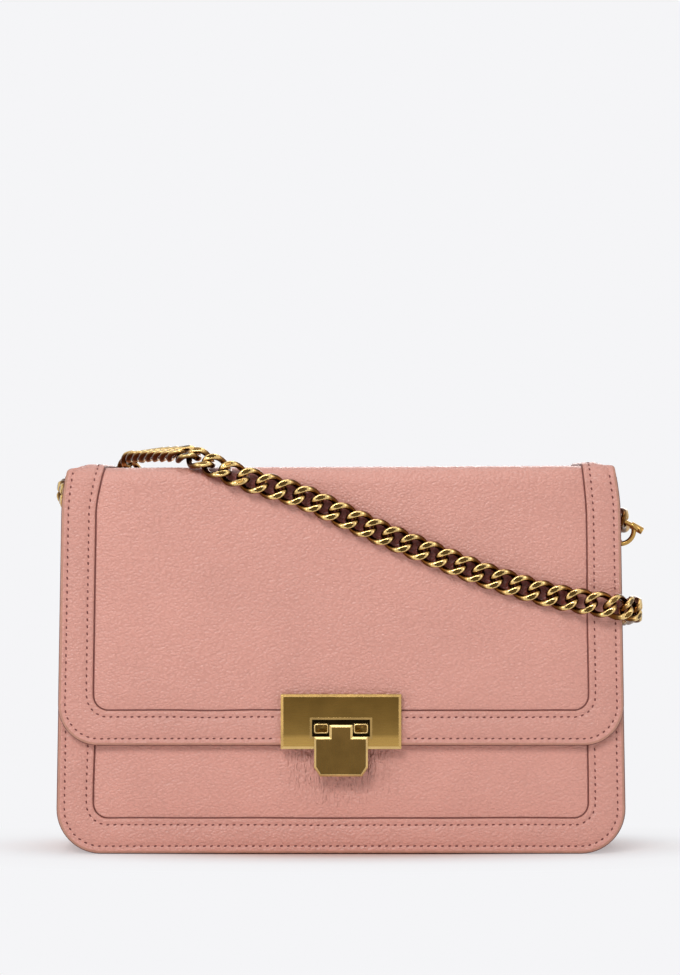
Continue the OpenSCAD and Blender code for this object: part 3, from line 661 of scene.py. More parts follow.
zs = np.concatenate([np.linspace(14.8, 40, 24), np.linspace(41.2, FRONT_TOP, 84)])
x_half = np.array([edge_x(z) - BAND_W + UNDER_BAND for z in zs])[:, None]
X, Z = spread(x_half, zs, SHARES)
side_gap = x_half - UNDER_BAND - np.abs(X)
rise = puff(side_gap, FRONT_REACH) * puff(Z - BAND_W, FRONT_REACH)
height = -0.1 + 0.85 * rise + 0.16 * rise * waves(X, Z, 42, 5) + 0.07 * rise * waves(X, Z, 13, 6)
points = np.stack([X, -HALF_D - height * taper(Z), Z], axis=2)
field = sheet("front_field", points, FRONT_FIELD, EDGE, 1.5, (0, -1, 0))
finish_piece(field, "bag", "leather", "front_panel")


# Back, base, gussets and their linings
def full_half(z, inset, low, corner):
    """Half the width of a panel with round lower corners at a height."""
    centre_x, centre_z = corner_centre(inset, low, corner)
    if z >= centre_z + corner * math.sin(TILT):
        return edge_x(z) - inset
    return centre_x + math.sqrt(max(0, corner**2 - (centre_z - z) ** 2))


def panel_rows(low, corner, top, steps):
    """The heights of a panel's rows, closer together at its round lower corners."""
    arc = [low + corner * (1 - math.cos(math.radians(90) * k / 16)) for k in range(16)]
    return np.array(arc + list(np.linspace(low + corner, top, steps)))


def panel(y, outward, inset, low, corner, top, edge_drop, bulge, seed, cols, steps):
    """An upright panel at a depth. Its edges lie deeper and its middle bulges outward."""
    zs = panel_rows(low, corner, top, steps)
    halves = np.array([full_half(z, inset, low, corner) for z in zs])[:, None]
    closer = math.radians(82)
    X, Z = spread(halves, zs, np.sin(np.linspace(-1, 1, cols) * closer) / math.sin(closer))
    edge_gap = np.minimum(halves - np.abs(X), Z - low)
    rise = puff(edge_gap, 4.0, 3)
    swell = bulge * smooth(edge_gap / 40) * (1 + 0.25 * waves(X, Z, 60, seed))
    out = edge_drop * (rise - 1) + swell + 0.06 * rise * waves(X, Z, 14, seed + 1)
    return np.stack([X, y + outward * out, Z], axis=2)


BACK_TOP, HEM, BACK_ROW = 173.7, 8, 3.4
points = panel(
    HALF_D, 1, inset=0, low=0.5, corner=CORNER_R, top=BACK_TOP, edge_drop=0.5, bulge=0.5, seed=21,
    cols=120, steps=84,
)
finish_piece(sheet("back_shell", points, SIDE, EDGE, 1.55, (0, 1, 0)), "bag", "leather", "back_panel")
back_zs = np.linspace(31, 150, 60)
back_outer = whole(half_outline(0, 0, CORNER_R, [(side_x(z), z) for z in back_zs]))
back_inner = whole(half_outline(HEM, HEM, CORNER_R - HEM, [(side_x(z) - HEM, z) for z in back_zs]))
flat = between(back_outer, back_inner, BACK_ROW, 0)
back_row = np.stack([flat[:, 0], np.full(len(flat), HALF_D - 0.02), flat[:, 1]], axis=1)
stitch_row("bag", back_row, (0, 1, 0))


def fold_at(z):
    """How far the gusset's fold lies inside the bag's side at a height."""
    return 0 if z <= FOLD_LOW else FOLD_D * ((z - FOLD_LOW) / (GUSSET_TOP - FOLD_LOW)) ** 1.2


def gusset_stations(depth, side):
    """Places down the side and round the lower corner, as x, z, outward x and outward z."""
    cx, cz = corner_centre(0, 0, CORNER_R)
    stations = [
        (edge_x(z) - depth * math.cos(TILT), z - depth * math.sin(TILT), math.cos(TILT), math.sin(TILT))
        for z in np.linspace(GUSSET_TOP, 20.5, 84)
    ]
    for k in range(0, 15):
        a = TILT - k / 14 * (math.pi / 2 + TILT)
        r = CORNER_R - depth
        stations.append((cx + r * math.cos(a), cz + r * math.sin(a), math.cos(a), math.sin(a)))
    return [(side * x, z, side * nx, nz) for x, z, nx, nz in stations]


# The fold's middle: how round it is, how much rounder where it is shallow, and how steep its sides
FOLD_ROUND, FOLD_ROUNDER, FOLD_POWER, GUSSET_SAG = 0.0009, 0.002, 1.12, 0.35


def gusset_points(depth, side, half_w):
    """The folded side: sharpest at the middle of the fold, flat where it meets the panels."""
    ts = np.linspace(-1, 1, 49)
    rows = []
    for x, z, nx, nz in gusset_stations(depth, side):
        fold = fold_at(z)
        dip = 1.03 - np.sqrt(ts**2 + FOLD_ROUND + FOLD_ROUNDER * (1 - fold / FOLD_D)) ** FOLD_POWER
        edge = smooth((1 - np.abs(ts)) / 0.12)
        sag = GUSSET_SAG * edge * waves(ts * 30, np.full(len(ts), z), 46, 31 + side)
        x_row = x - side * fold * np.clip(dip, 0, 1) + nx * sag
        rows.append(np.stack([x_row, ts * half_w, np.full(len(ts), z) + nz * sag], axis=1))
    return np.array(rows)


for side, word in ((-1, "left"), (1, "right")):
    points = gusset_points(0, side, WALL_Y - 0.02)
    skin = sheet(f"gusset_skin_{word}", points, SIDE, EDGE, LEATHER_T - 0.1, (side, 0, 0))
    finish_piece(skin, "bag", "leather", f"gusset_{word}")
    points = gusset_points(LEATHER_T, side, WALL_Y - 1.2)
    lined(f"gusset_cloth_{word}", points, 0.5, (side, 0, 0), "bag", f"gusset_lining_{word}")

base_half = corner_centre(0, 0, CORNER_R)[0]
across, deep = np.linspace(-base_half, base_half, 90), np.linspace(-WALL_Y, WALL_Y, 30)
bx, by = np.meshgrid(across, deep, indexing="ij")
base_gap = np.minimum(WALL_Y - np.abs(by), base_half - np.abs(bx))
base_z = 0.12 + 0.25 * smooth(base_gap / 8) * (0.5 + 0.5 * waves(bx, by, 40, 41)) * 0.5
base = sheet("base_leather", np.stack([bx, by, base_z], axis=2), SIDE, EDGE, 1.4, (0, 0, -1))
finish_piece(base, "bag", "leather", "base_panel")

LINING_Y, LINING_IN, LINING_R, LINING_TOP = WALL_Y - 1.65, 3.4, 16.6, 173.2
for side, word, seed in ((-1, "front", 51), (1, "back", 53)):
    points = panel(
        side * LINING_Y, -side, inset=LINING_IN, low=LINING_IN, corner=LINING_R, top=LINING_TOP,
        edge_drop=0.1, bulge=0.25, seed=seed, cols=90, steps=60,
    )
    lined(f"{word}_cloth", points, 0.55, (0, -side, 0), "bag", f"{word}_lining")
points = np.stack([bx * 0.998, by * 0.935, 4.15 + 0.15 * waves(bx, by, 45, 55)], axis=2)
lined("base_cloth", points, 0.5, (0, 0, 1), "bag", "base_lining")

# Flap, drawn on the flat: q goes up the front, round the bend and back over the top to the hinge
FLAP_BACK_Y = 34.8
Q_TOP = BEND_Z + BEND_R * math.pi / 2
Q_END = Q_TOP + (FLAP_BACK_Y - BEND_Y)
FLAP_ROW, FLAP_REACH, FLAP_FIELD_LOW = 3.05, 12, 65.4

# The wide front ends in small ears, higher on the right, and the top is tilted from side to side
EAR_LEFT, EAR_RIGHT, EAR_H = 178.3, 179.8, 3.6
TOP_TILT, TILT_FROM, TILT_OVER = 0.5 / 110, 172, 6

# The flap's edges drop where it goes over the top
EDGE_DROP, DROP_X, DROP_W, DROP_Q = 1.3, 114.5, 6, 178.5


def flap_place(x, q, out):
    """A place on the flap from its flat drawing: x across, q up the front and on over the top."""
    x, q, out = np.broadcast_arrays(np.asarray(x, float), np.asarray(q, float), np.asarray(out, float))
    out = out - EDGE_DROP * np.clip((np.abs(x) - DROP_X) / DROP_W, 0, 1) ** 2 * smooth((q - DROP_Q) / 3)
    out = out + TOP_TILT * x * smooth((q - TILT_FROM) / TILT_OVER)
    angle = np.clip((q - BEND_Z) / BEND_R, 0, math.pi / 2)
    over = np.clip(q - Q_TOP, 0, None)
    y = BEND_Y + over - (FLAP_IN_R + out) * np.cos(angle)
    z = np.where(q < BEND_Z, q, BEND_Z + (FLAP_IN_R + out) * np.sin(angle))
    return np.stack([x, y, z], axis=-1)


def flap_normal(q):
    angle = np.clip((np.asarray(q, float) - BEND_Z) / BEND_R, 0, math.pi / 2)
    return np.stack([0 * angle, -np.cos(angle), np.sin(angle)], axis=-1)


def flap_edge(q, ear):
    """Half the width of the flap, with the ears where the wide front ends."""
    wide = np.array([edge_x(v) for v in np.minimum(np.atleast_1d(q), ear)]) - FLAP_INSET
    k = np.clip((np.atleast_1d(q) - (ear - EAR_H)) / EAR_H, 0, 1)
    return np.where(k >= 1, TOP_HALF_W, TOP_HALF_W + (wide - TOP_HALF_W) * (1 - k**3) ** (1 / 3))


# Where the seam would meet the top if it didn't lean, and how far it leans in on each side
SEAM_TOP_X, SEAM_LEAN_LEFT, SEAM_LEAN_RIGHT = 111.9, 3.9, 1.6


def flap_seam(q, lean):
    """How far the seam lies from the middle. It leans in towards the top."""
    low = side_x(FLAP_LOW + FLAP_BAND_W) - FLAP_INSET - FLAP_BAND_W
    return low + (SEAM_TOP_X - low) * np.clip((q - 70) / 88, 0, 1) - lean * smooth((q - 155) / 26)


side_qs = np.concatenate([
    np.linspace(76, 166, 46), np.linspace(168, Q_TOP + 1, 48), np.linspace(Q_TOP + 2.2, Q_END, 28)
])


def flap_half(inset, corner, side_values):
    return half_outline(inset, FLAP_LOW + inset - FLAP_INSET, corner, zip(side_values, side_qs))


flap_outer = joined(*[
    flap_half(FLAP_INSET, FLAP_CORNER_R, flap_edge(side_qs, ear)) for ear in (EAR_LEFT, EAR_RIGHT)
])
flap_inner = joined(*[
    flap_half(FLAP_INSET + FLAP_BAND_W, SEAM_R, flap_seam(side_qs, lean))
    for lean in (SEAM_LEAN_LEFT, SEAM_LEAN_RIGHT)
])
flap_inner = uneven(flap_inner, flap_outer, FLAP_BAND_W, height=0.2, size=40, seed=61)


def place_band(x, q, height):
    return flap_place(x, q, LEATHER_OUT + height)


flap_band = sewn_band(
    "flap", "flap", flap_outer, flap_inner, band_section(0.65 - LEATHER_OUT, FLAP_ROW), place_band,
    "flap_frame", "flap_board",
)
PLATE_HALF_W, PLATE_TOP = 28.2, 74.5


def stitch_on_flap(flat):
    """Sews along the flat drawing, leaving out what the lock plate covers."""
    keep = (np.abs(flat[:, 0]) > PLATE_HALF_W) | (flat[:, 1] > PLATE_TOP)
    edges = np.flatnonzero(np.diff(keep.astype(int))) + 1
    for part in np.split(np.arange(len(flat)), edges):
        if len(part) > 3 and keep[part[0]]:
            sewn = flat[part]
            stitch_row("flap", placed(place_band, sewn, STITCH_H), flap_normal(sewn[:, 1]))


stitch_on_flap(between(flap_outer, flap_inner, -INNER_ROW, 1))
outer_row = between(flap_outer, flap_inner, FLAP_ROW, 0)
stitch_on_flap(outer_row[outer_row[:, 1] < EAR_LEFT - 2.5])
for side in (-1, 1):
    stitch_on_flap(outer_row[(outer_row[:, 1] > Q_TOP + 1) & (outer_row[:, 0] * side > 0)])

# The leather lies under the band by a little, and flat beside the plate and over the top
FLAP_UNDER, PRESS_X, PRESS_Q, PRESS_REACH, TOP_REACH = 1.4, 27.4, 73.5, 14, 9
qs = np.concatenate([
    np.linspace(63.9, 165, 84), np.linspace(166, Q_TOP + 1, 22), np.linspace(Q_TOP + 2.5, Q_END, 44)
])
left_half, right_half = flap_seam(qs, SEAM_LEAN_LEFT), flap_seam(qs, SEAM_LEAN_RIGHT)
x_half = np.where(SHARES[None, :] < 0, left_half[:, None], right_half[:, None]) + FLAP_UNDER
X, Q = spread(x_half, qs, SHARES)
rise = puff(x_half - FLAP_UNDER - np.abs(X), FLAP_REACH) * puff(Q - FLAP_FIELD_LOW, FLAP_REACH)
from_plate = np.hypot(np.clip(np.abs(X) - PRESS_X, 0, None), np.clip(Q - PRESS_Q, 0, None))
rise *= 0.1 + 0.9 * smooth(from_plate / PRESS_REACH)
height = -0.08 + 0.78 * rise + 0.17 * rise * waves(X, Q, 46, 71) + 0.07 * rise * waves(X, Q, 14, 72)
on_top = smooth((Q - Q_TOP + TOP_REACH) / TOP_REACH)
height = height * (1 - 0.9 * on_top) - 0.6 * on_top
points = flap_place(X, Q, LEATHER_OUT + height)
flap_field = sheet("flap_field", points, FIELD, EDGE, 1.5, (0, -1, 0.2))
finish_piece(flap_field, "flap", "leather", "flap_panel")

# The lining stops short of the flap's edges
SHORT, UNDER_LOW = 1.2, FLAP_LOW + 1.3
under_qs = np.concatenate([
    panel_rows(UNDER_LOW, FLAP_CORNER_R, BEND_Z, 60),
    np.linspace(BEND_Z + 1.2, Q_TOP, 12), np.linspace(Q_TOP + 2, Q_END - 0.8, 30),
])
halves = np.array([
    min(full_half(q, FLAP_INSET + SHORT, UNDER_LOW, FLAP_CORNER_R - 1), flap_edge(q, EAR_LEFT)[0] - SHORT)
    for q in under_qs
])
X, Q = spread(halves[:, None], under_qs, np.linspace(-1, 1, 100))
points = flap_place(X, Q, 0.02 + 0.04 * waves(X, Q, 30, 77))
lined("flap_underside", points, 0.6, (0, 1, -0.2), "flap", "flap_lining")

# The leather hinge runs from the back panel up over the back edge of the flap, as y and z
hinge_profile = [
    (35.62, 150.0), (35.75, 154.0), (35.85, 160.0), (35.95, 166.0), (36.05, 171.0), (36.2, 173.6),
    (36.1, 175.1), (35.6, 176.4), (34.4, 177.1), (32.4, 177.35), (29.0, 177.4), (25.5, 177.35),
    (22.0, 177.2),
]
HINGE_HALF_W, HINGE_ROW_HALF = 116, 114

# The y and z of its row of stitches on the bag and of the one on the flap
BAG_ROW, TOP_ROW = (35.72, 152.6), (24.4, 177.17)


def fine_line(points):
    """A smooth line through a few points, with three steps between two of them."""
    points = np.asarray(points, float)
    last = len(points) - 1
    out = [
        spline(points[max(i - 1, 0)], points[i], points[i + 1], points[min(i + 2, last)], k / 3)
        for i in range(last)
        for k in range(3)
    ]
    return np.array(out + [points[-1]])


hx = np.linspace(-HINGE_HALF_W, HINGE_HALF_W, 110)
hinge_rows = []
for k, (y, z) in enumerate(fine_line(hinge_profile)):
    narrower = 1 if k else 0.988
    y_row = y + 0.05 * waves(hx, hx * 0 + z, 18, 81)
    z_row = z + TOP_TILT * hx * smooth((z - TILT_FROM) / 4)
    hinge_rows.append(np.stack([hx * narrower, y_row, z_row], axis=1))
hinge_strip = sheet("flap_hinge_strip", hinge_rows, BAND, EDGE, 0.9, (0, 1, 0))
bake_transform(hinge_strip)
row_x = np.linspace(-HINGE_ROW_HALF, HINGE_ROW_HALF, 90)
for body, (y, z), tilt, normal in (("bag", BAG_ROW, 0, (0, 1, 0)), ("flap", TOP_ROW, TOP_TILT, (0, 0, 1))):
    stitch_row(body, np.stack([row_x, 0 * row_x + y, z + tilt * row_x], axis=1), normal)

# Chain: its wire, pitch and link, and how its route bends, as in the part's source
WIRE_D, PITCH, LINK_A, LINK_B, TWIST, FLAT_H, END_A = 2.8, 8.8, 6.3, 4.6, 48, 2.75, 7.6
CHAIN_RISE = 3.35
CHAIN_ARC_R = 6.4 * WIRE_D
CORNER_IN = (CHAIN_ARC_R - CHAIN_RISE) / math.sqrt(2)
FLAP_FACE = FLAP_IN_Y + FLAP_T


def link_middle(a, tip, t):
    """A place on a link's middle line. Its tip can be turned otherwise than its other end."""
    turn = math.radians((TWIST - tip) / 2 + (TWIST + tip) / 2 * math.cos(t))
    side = LINK_B * math.sin(t)
    return np.array([a * math.cos(t), side * math.cos(turn), -side * math.sin(turn)])


# The materials of a link's faces, as indices: its wire, its ground flats, painted dark as a reflection,
# and their polished rims, painted bright as a highlight.
# How far past a crest's height the wire is ground, how far below it the rim is, and the height over which
# the painted shade of the hollows fades
WIRE, GROUND, SHINY_HIGHLIGHT = range(3)
GROUND_OVER, RIM_UNDER, HOLLOW_SHADE_H = 0.05, 0.22, 2.6


def link_shape(a, tip, crest):
    """A twisted oval of wire. Its crests are ground to flats, painted dark as a reflection, whose polished
    rims are painted bright as a highlight.
    """
    rings, sides = 56, 18
    points = []
    for i in range(rings):
        t = 2 * math.pi * i / rings
        middle = link_middle(a, tip, t)
        along = unit(link_middle(a, tip, t + 0.02) - link_middle(a, tip, t - 0.02))
        out = unit(np.cross(along, [0, 0, 1]))
        up = np.cross(out, along)
        for j in range(sides):
            s = 2 * math.pi * (j + 0.5) / sides
            points.append(middle + WIRE_D / 2 * (math.cos(s) * out + math.sin(s) * up))
    points = np.array(points)
    over = np.abs(points[:, 2]) - crest
    points[:, 2] = np.where(over > 0, np.sign(points[:, 2]) * crest, points[:, 2])
    zone = np.where(over > GROUND_OVER, 2, np.where(over > -RIM_UNDER, 1, 0))
    grid = grid_faces(rings + 1, sides, wrap=True)
    faces = [tuple(face[k] % len(points) for k in (0, 3, 2, 1)) for face in grid]
    indices = []
    for face in faces:
        low, high = min(zone[v] for v in face), max(zone[v] for v in face)
        indices.append(GROUND if low == 2 else SHINY_HIGHLIGHT if high else WIRE)
    return points, faces, indices


def curve_points(points, outs):
    """A smooth curve through a route's points, with the outward direction along it."""
    points, outs = np.asarray(points, float), np.asarray(outs, float)
    steps = 8
    fine, fine_out = [], []
    last = len(points) - 1
    for i in range(last):
        p1, p2 = points[i], points[i + 1]
        p0 = points[i - 1] if i else 2 * p1 - p2
        p3 = points[i + 2] if i + 2 <= last else 2 * p2 - p1
        for k in range(steps):
            t = k / steps
            fine.append(spline(p0, p1, p2, p3, t))
            fine_out.append(outs[i] * (1 - t) + outs[i + 1] * t)
    return np.array(fine + [points[-1]]), np.array(fine_out + [outs[-1]])


def link_frame(here, there, outward):
    """Where a link lies between two joints: its middle, and the ways along, across and out of it."""
    along = unit(there - here)
    across = unit(np.cross(outward, along))
    return (here + there) / 2, along, across, np.cross(along, across)


def link_frames(route, start, pitch=PITCH):
    """The frames of all the links that fit on a route after a start."""
    path, outs = curve_points([p for p, _ in route], [o for _, o in route])
    s = lengths_along(path)
    frames = []
    for k in range(int((s[-1] - start) / pitch + 1e-6)):
        d = start + k * pitch
        frames.append(link_frame(at(d, s, path), at(d + pitch, s, path), at(d + pitch / 2, s, outs)))
    return frames


def chain_mesh(name, links):
    """One mesh of many links, each given as its frame and its shape."""
    points, faces, indices, n = [], [], [], 0
    for (middle, along, across, out), (shape, shape_faces, shape_indices) in links:
        points.append(middle + shape @ np.array([along, across, out]))
        faces += [tuple(v + n for v in face) for face in shape_faces]
        indices += shape_indices
        n += len(shape)
    obj = new_object(name, np.concatenate(points), faces, [CHAIN, FLAT_DARK_REFLECTION, RIM_HIGHLIGHT], indices)
    # Painted shade in the hollows: dark at each link's sides, fading out towards its crests
    height = np.concatenate([np.abs(shape[:, 2]) for _, (shape, _, _) in links])
    hollow_shade = obj.data.attributes.new("hollow_shade", "FLOAT", "POINT")
    hollow_shade.data.foreach_set("value", smooth(height / HOLLOW_SHADE_H).astype(np.float32))
    return obj


FRONT, RIGHT, BACK, LEFT = (
    np.array(v, float) for v in ((0, -1, 0), (1, 0, 0), (0, 1, 0), (-1, 0, 0))
)


def corner_place(x, y, z, angle):
    """A place on the route's arc round a corner, and the way out from there."""
    way = np.array([*cos_sin(angle), 0])
    return np.array([x, y, z]) + CHAIN_ARC_R * way, way


def spot(x, y, z, way):
    """A place on the route, x and z as shares of the body's size, and the way out from there."""
    return np.array([x * BODY_W, y, z * BODY_H]), way


def facing(angle):
    """The direction from straight ahead, at 0, to straight up, at 90."""
    c, s = cos_sin(angle)
    return np.array([0, -c, s])


# The heights at which the chain goes round the right side, from its front to its back corner
WRAP_FRONT, WRAP_BACK = 0.64, 0.605


def wrap_z(s):
    """The chain's height on the right side, a share s of the way round it."""
    return BODY_H * (WRAP_FRONT + s * (WRAP_BACK - WRAP_FRONT))


over_top = BODY_H + CHAIN_RISE
down_front = -FLAP_FACE - CHAIN_RISE
behind = HALF_D + CHAIN_RISE + 1.6
chain_bend_z, chain_bend_y = BODY_H - BEND_R, -FLAP_FACE + BEND_R
wrap_x = side_x(WRAP_FRONT * BODY_H) - FLAP_INSET - CORNER_IN
wrap_y = -FLAP_FACE + CORNER_IN
back_wrap_y = HALF_D - CORNER_IN
reach = BEND_R + CHAIN_RISE

# The front run: over the top, round the bend, down across the front and round the right corner.
# On top the links lean forward, and stand a little higher for it
front_route = []
for x, y, rise, turn in (
    (-0.377, 0.386, 0.3, 80), (-0.354, 0.186, 0.8, 66), (-0.329, -0.03, 1.1, 58),
    (-0.302, -0.25, 1.1, 55),
):
    front_route.append((np.array([x * BODY_W, y * 2 * HALF_D, over_top + rise]), facing(turn)))
for x, angle, rise, turn in (
    (-0.275, 88, 1.1, 53), (-0.2615, 70, 0.8, 48), (-0.24, 50, 0.4, 40), (-0.21, 30, 0.1, 28),
    (-0.173, 12, 0, 12),
):
    bend_middle = np.array([x * BODY_W, chain_bend_y, chain_bend_z])
    front_route.append((bend_middle + (reach + rise) * facing(angle), facing(turn)))
for x, z in (
    (-0.13, 0.9434), (-0.068, 0.916), (-0.0035, 0.872), (0.06, 0.829), (0.119, 0.793),
    (0.183, 0.755), (0.249, 0.7165), (0.314, 0.686), (0.378, 0.66),
):
    front_route.append(spot(x, down_front, z, FRONT))
for angle in (-74, -50, -25, 0):
    front_route.append(corner_place(wrap_x, wrap_y, wrap_z(0.5 + angle / 180), angle))
for share in (-0.25, -0.05, 0.13):
    place = np.array([wrap_x + CHAIN_ARC_R, share * 2 * HALF_D, wrap_z(0.65 + share)])
    front_route.append((place, RIGHT))

# The rings, their pins and the turns of both about the y axis
RING_R, RING_WIRE_D, PIN_RISE, PIN_HALF_L, PIN_R = 6.3, 2.3, 4.6, 9.2, 1.1
RIGHT_TURN, LEFT_TURN = -28.8, 90.0
ring_right_z, ring_left_z = 0.8263 * BODY_H, 0.916 * BODY_H
ring_right_x = side_x(ring_right_z) + 0.49 * RING_R
ring_left_x = 0.83 * RING_R - side_x(ring_left_z)


def pin_place(x, z, turn, along):
    """A place on a ring's pin, some way along it from its middle."""
    c, s = cos_sin(turn)
    return np.array([x + along * c - PIN_RISE * s, 0, z + along * s + PIN_RISE * c])


# The right run: from the ring round the back corner, down and up in a loop on the back, to the right
right_pin = pin_place(ring_right_x, ring_right_z, RIGHT_TURN, -0.15 * PIN_HALF_L)
left_pin = pin_place(ring_left_x, ring_left_z, LEFT_TURN, -0.14 * PIN_HALF_L)
end_back = END_A - WIRE_D / 2 - 1.9 * PIN_R
ring_angles = (-20, 1, 22, 43, 64, 82)
ring_arc_in, ring_arc_y = 1.245 * CORNER_IN, HALF_D - 0.69 * CORNER_IN
right_route = [
    (right_pin + [0, end_back - PITCH / 2, 0], RIGHT),
    (right_pin + [WIRE_D / 3, end_back + PITCH / 2, 0], RIGHT),
]
for angle in ring_angles:
    z = 0.848 * BODY_H - angle / 90 * WIRE_D
    right_route.append(corner_place(side_x(ring_right_z) - ring_arc_in, ring_arc_y, z, angle))
for x, z, back in (
    (0.398, 0.812, 1.45), (0.338, 0.777, 0.6), (0.284, 0.725, 0.1), (0.24, 0.665, 0),
    (0.208, 0.59, 0), (0.19, 0.51, 0), (0.184, 0.43, 0),
):
    right_route.append(spot(x, behind + back * CHAIN_RISE, z, BACK))
LOOP_R, LOOP_X, LOOP_Z = 0.088 * BODY_W, 0.272 * BODY_W, 0.37 * BODY_H
for angle in range(180, -1, -30):
    c, s = cos_sin(angle)
    right_route.append((np.array([LOOP_X + LOOP_R * c, behind, LOOP_Z - LOOP_R * s]), BACK))
for x, z in ((0.3615, 0.435), (0.366, 0.49), (0.38, 0.539), (0.408, 0.571)):
    right_route.append(spot(x, behind, z, BACK))
back_wrap_x = side_x(WRAP_BACK * BODY_H) - CORNER_IN
for angle in (78, 52, 26, 0):
    z = BODY_H * (WRAP_BACK - 0.012 * angle / 90)
    right_route.append(corner_place(back_wrap_x, back_wrap_y, z, angle))

# The left run: from the ring round the back corner to the back edge of the flap
left_route = [
    (left_pin + [0, end_back - PITCH / 2, 0], LEFT),
    (left_pin + [-WIRE_D / 2, end_back + PITCH / 2, WIRE_D / 3], LEFT),
]
for angle in ring_angles:
    z = left_pin[2] + WIRE_D * (1.2 + angle / 90)
    left_route.append(corner_place(ring_arc_in - side_x(ring_left_z), ring_arc_y, z, 180 - angle))
left_end = np.array([-0.415 * BODY_W, HALF_D + 3 * CHAIN_RISE, left_pin[2] + 2.8 * WIRE_D])
left_route.append((left_end, BACK))


def end_link(route, turn):
    """The frame and shape of the longer link at a route's start, twisted to pass round its pin."""
    found = link_frames(route, 0)[0]
    c, s = cos_sin(turn)
    way = np.array([c, 0, s])
    tip = math.degrees(math.atan2(way @ found[3], way @ found[2])) - 90
    tip -= 180 * round((tip - TWIST) / 180)
    return found, link_shape(END_A, tip, LINK_B + WIRE_D)


def bridge(first, last, count, pull):
    """Frames of the links that close a gap between two runs, along a curve from joint to joint. The
    pull is how strongly the curve keeps the ways of both runs at its ends."""
    a = first[0] + first[1] * PITCH / 2
    b = last[0] - last[1] * PITCH / 2
    ts = np.linspace(0, 1, 60)[:, None]
    path = (
        (2 * ts**3 - 3 * ts**2 + 1) * a + (ts**3 - 2 * ts**2 + ts) * pull * first[1]
        + (3 * ts**2 - 2 * ts**3) * b + (ts**3 - ts**2) * pull * last[1]
    )
    s = lengths_along(path)
    frames = []
    for k in range(count):
        here, there = at(s[-1] * k / count, s, path), at(s[-1] * (k + 1) / count, s, path)
        w = (k + 0.5) / count
        frames.append(link_frame(here, there, unit(first[3] * (1 - w) + last[3] * w)))
    return frames


def turned(found):
    """The same link seen from its other end."""
    return found[0], -found[1], -found[2], found[3]


# The front run is drawn out a little, and all links are ground a little lower than in the source
DRAWN_OUT, GROUND_LOWER = 1.0073, 0.15
first_link = PITCH + END_A - LINK_A
plain = link_shape(LINK_A, TWIST, FLAT_H - GROUND_LOWER)
front_frames = link_frames(front_route, 0, DRAWN_OUT * PITCH)
left_frames = link_frames(left_route, first_link)
right_frames = link_frames(right_route, first_link)
over_frames = bridge(turned(front_frames[0]), turned(left_frames[-1]), count=3, pull=30)
wrap_frames = bridge(front_frames[-1], turned(right_frames[-1]), count=2, pull=18)


def run(frames):
    return [(found, plain) for found in frames]


chain_pieces = (
    ("chain_front_links", "flap", run(front_frames), ("chain_front",)),
    ("chain_left_links", "bag", run(left_frames), ("chain_back_left",)),
    ("chain_right_links", "bag", run(right_frames), ("chain_back_right",)),
    ("chain_end_left", "bag", [end_link(left_route, LEFT_TURN)], ("end_link_left",)),
    ("chain_end_right", "bag", [end_link(right_route, RIGHT_TURN)], ("end_link_right",)),
    ("chain_over_flap", "flap", run(over_frames[:1]), ()),
    ("chain_over_bag", "bag", run(over_frames[2:]), ()),
    ("chain_wrap_flap", "flap", run(wrap_frames[:1]), ()),
    ("chain_wrap_bag", "bag", run(wrap_frames[1:]), ()),
)
for name, body, links, replaced in chain_pieces:
    finish_piece(chain_mesh(name, links), body, "chain_gold", *replaced)

# The link beside the hinge, made on its own and attached to neither body, its place baked into its mesh
folding = chain_mesh("chain_over_hinge", [(over_frames[1], plain)])
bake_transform(folding)

# Ring straps: their width, half their thickness where they are sewn, and how far off the wire they lie
STRAP_W, STRAP_HALF, STRAP_OVER = 6.0, 0.62, 0.3


def strap(name, x, z, turn, length):
    """A leather strip folded round a ring's bow, its two ends sewn together."""
    bow = RING_WIRE_D / 2 + STRAP_OVER + 0.6
    eye_low = -RING_R - RING_WIRE_D / 2 - STRAP_OVER
    eye_high = -RING_R + RING_WIRE_D / 2 + 0.75 + STRAP_OVER - 0.9
    path = [
        (-STRAP_HALF, eye_low - length), (-STRAP_HALF, eye_low - 0.4 * length),
        (-0.9, eye_low - 0.2), (-bow, eye_low + 1.1), (-bow, eye_high),
    ]
    for angle in (35, 65, 90):
        c, s = cos_sin(angle)
        path.append((-bow * c, eye_high + bow * 0.75 * s))
    path = fine_line(path + [(-y, v) for y, v in path[-2::-1]])
    c, s = cos_sin(turn)
    us = np.linspace(-STRAP_W / 2, STRAP_W / 2, 9)
    rows = [np.stack([x + us * c - v * s, 0 * us + y, z + us * s + v * c], axis=1) for y, v in path]
    outward = rows[len(rows) // 2][4] - np.array([x, 0, z]) + 30 * np.array([-s, 0, c])
    return sheet(name, rows, BAND, EDGE, 1.0, outward)


left_length = 0.885 * fold_at(ring_left_z) - 0.83 * RING_R - RING_R - RING_WIRE_D / 2 - STRAP_OVER + 1.5
for word, x, z, turn, length in (
    ("left", ring_left_x, ring_left_z, LEFT_TURN, left_length),
    ("right", ring_right_x, ring_right_z, RIGHT_TURN, 2.03 * RING_R),
):
    finish_piece(strap(f"strap_{word}", x, z, turn, length), "bag", "leather", f"tab_{word}")

# Marks the leather under the chain for painted shade, dark as the chain's shadow. The mark fades at the
# end of its reach
CHAIN_SHADE_REACH, CHAIN_SHADE_FADE = 7.4, 2.6
line = np.array([f[0] + f[1] * step for f in front_frames for step in (-3.3, -1.1, 1.1, 3.3)])
for obj in (flap_field, flap_band):
    co = np.array([v.co for v in obj.data.vertices], float) / MM
    near = np.full(len(co), 99.0)
    for p in line:
        near = np.minimum(near, np.linalg.norm(co - p, axis=1))
    chain_shade = obj.data.attributes.new("chain_shade", "FLOAT", "POINT")
    chain_shade.data.foreach_set("value", smooth((CHAIN_SHADE_REACH - near) / CHAIN_SHADE_FADE).astype(np.float32))

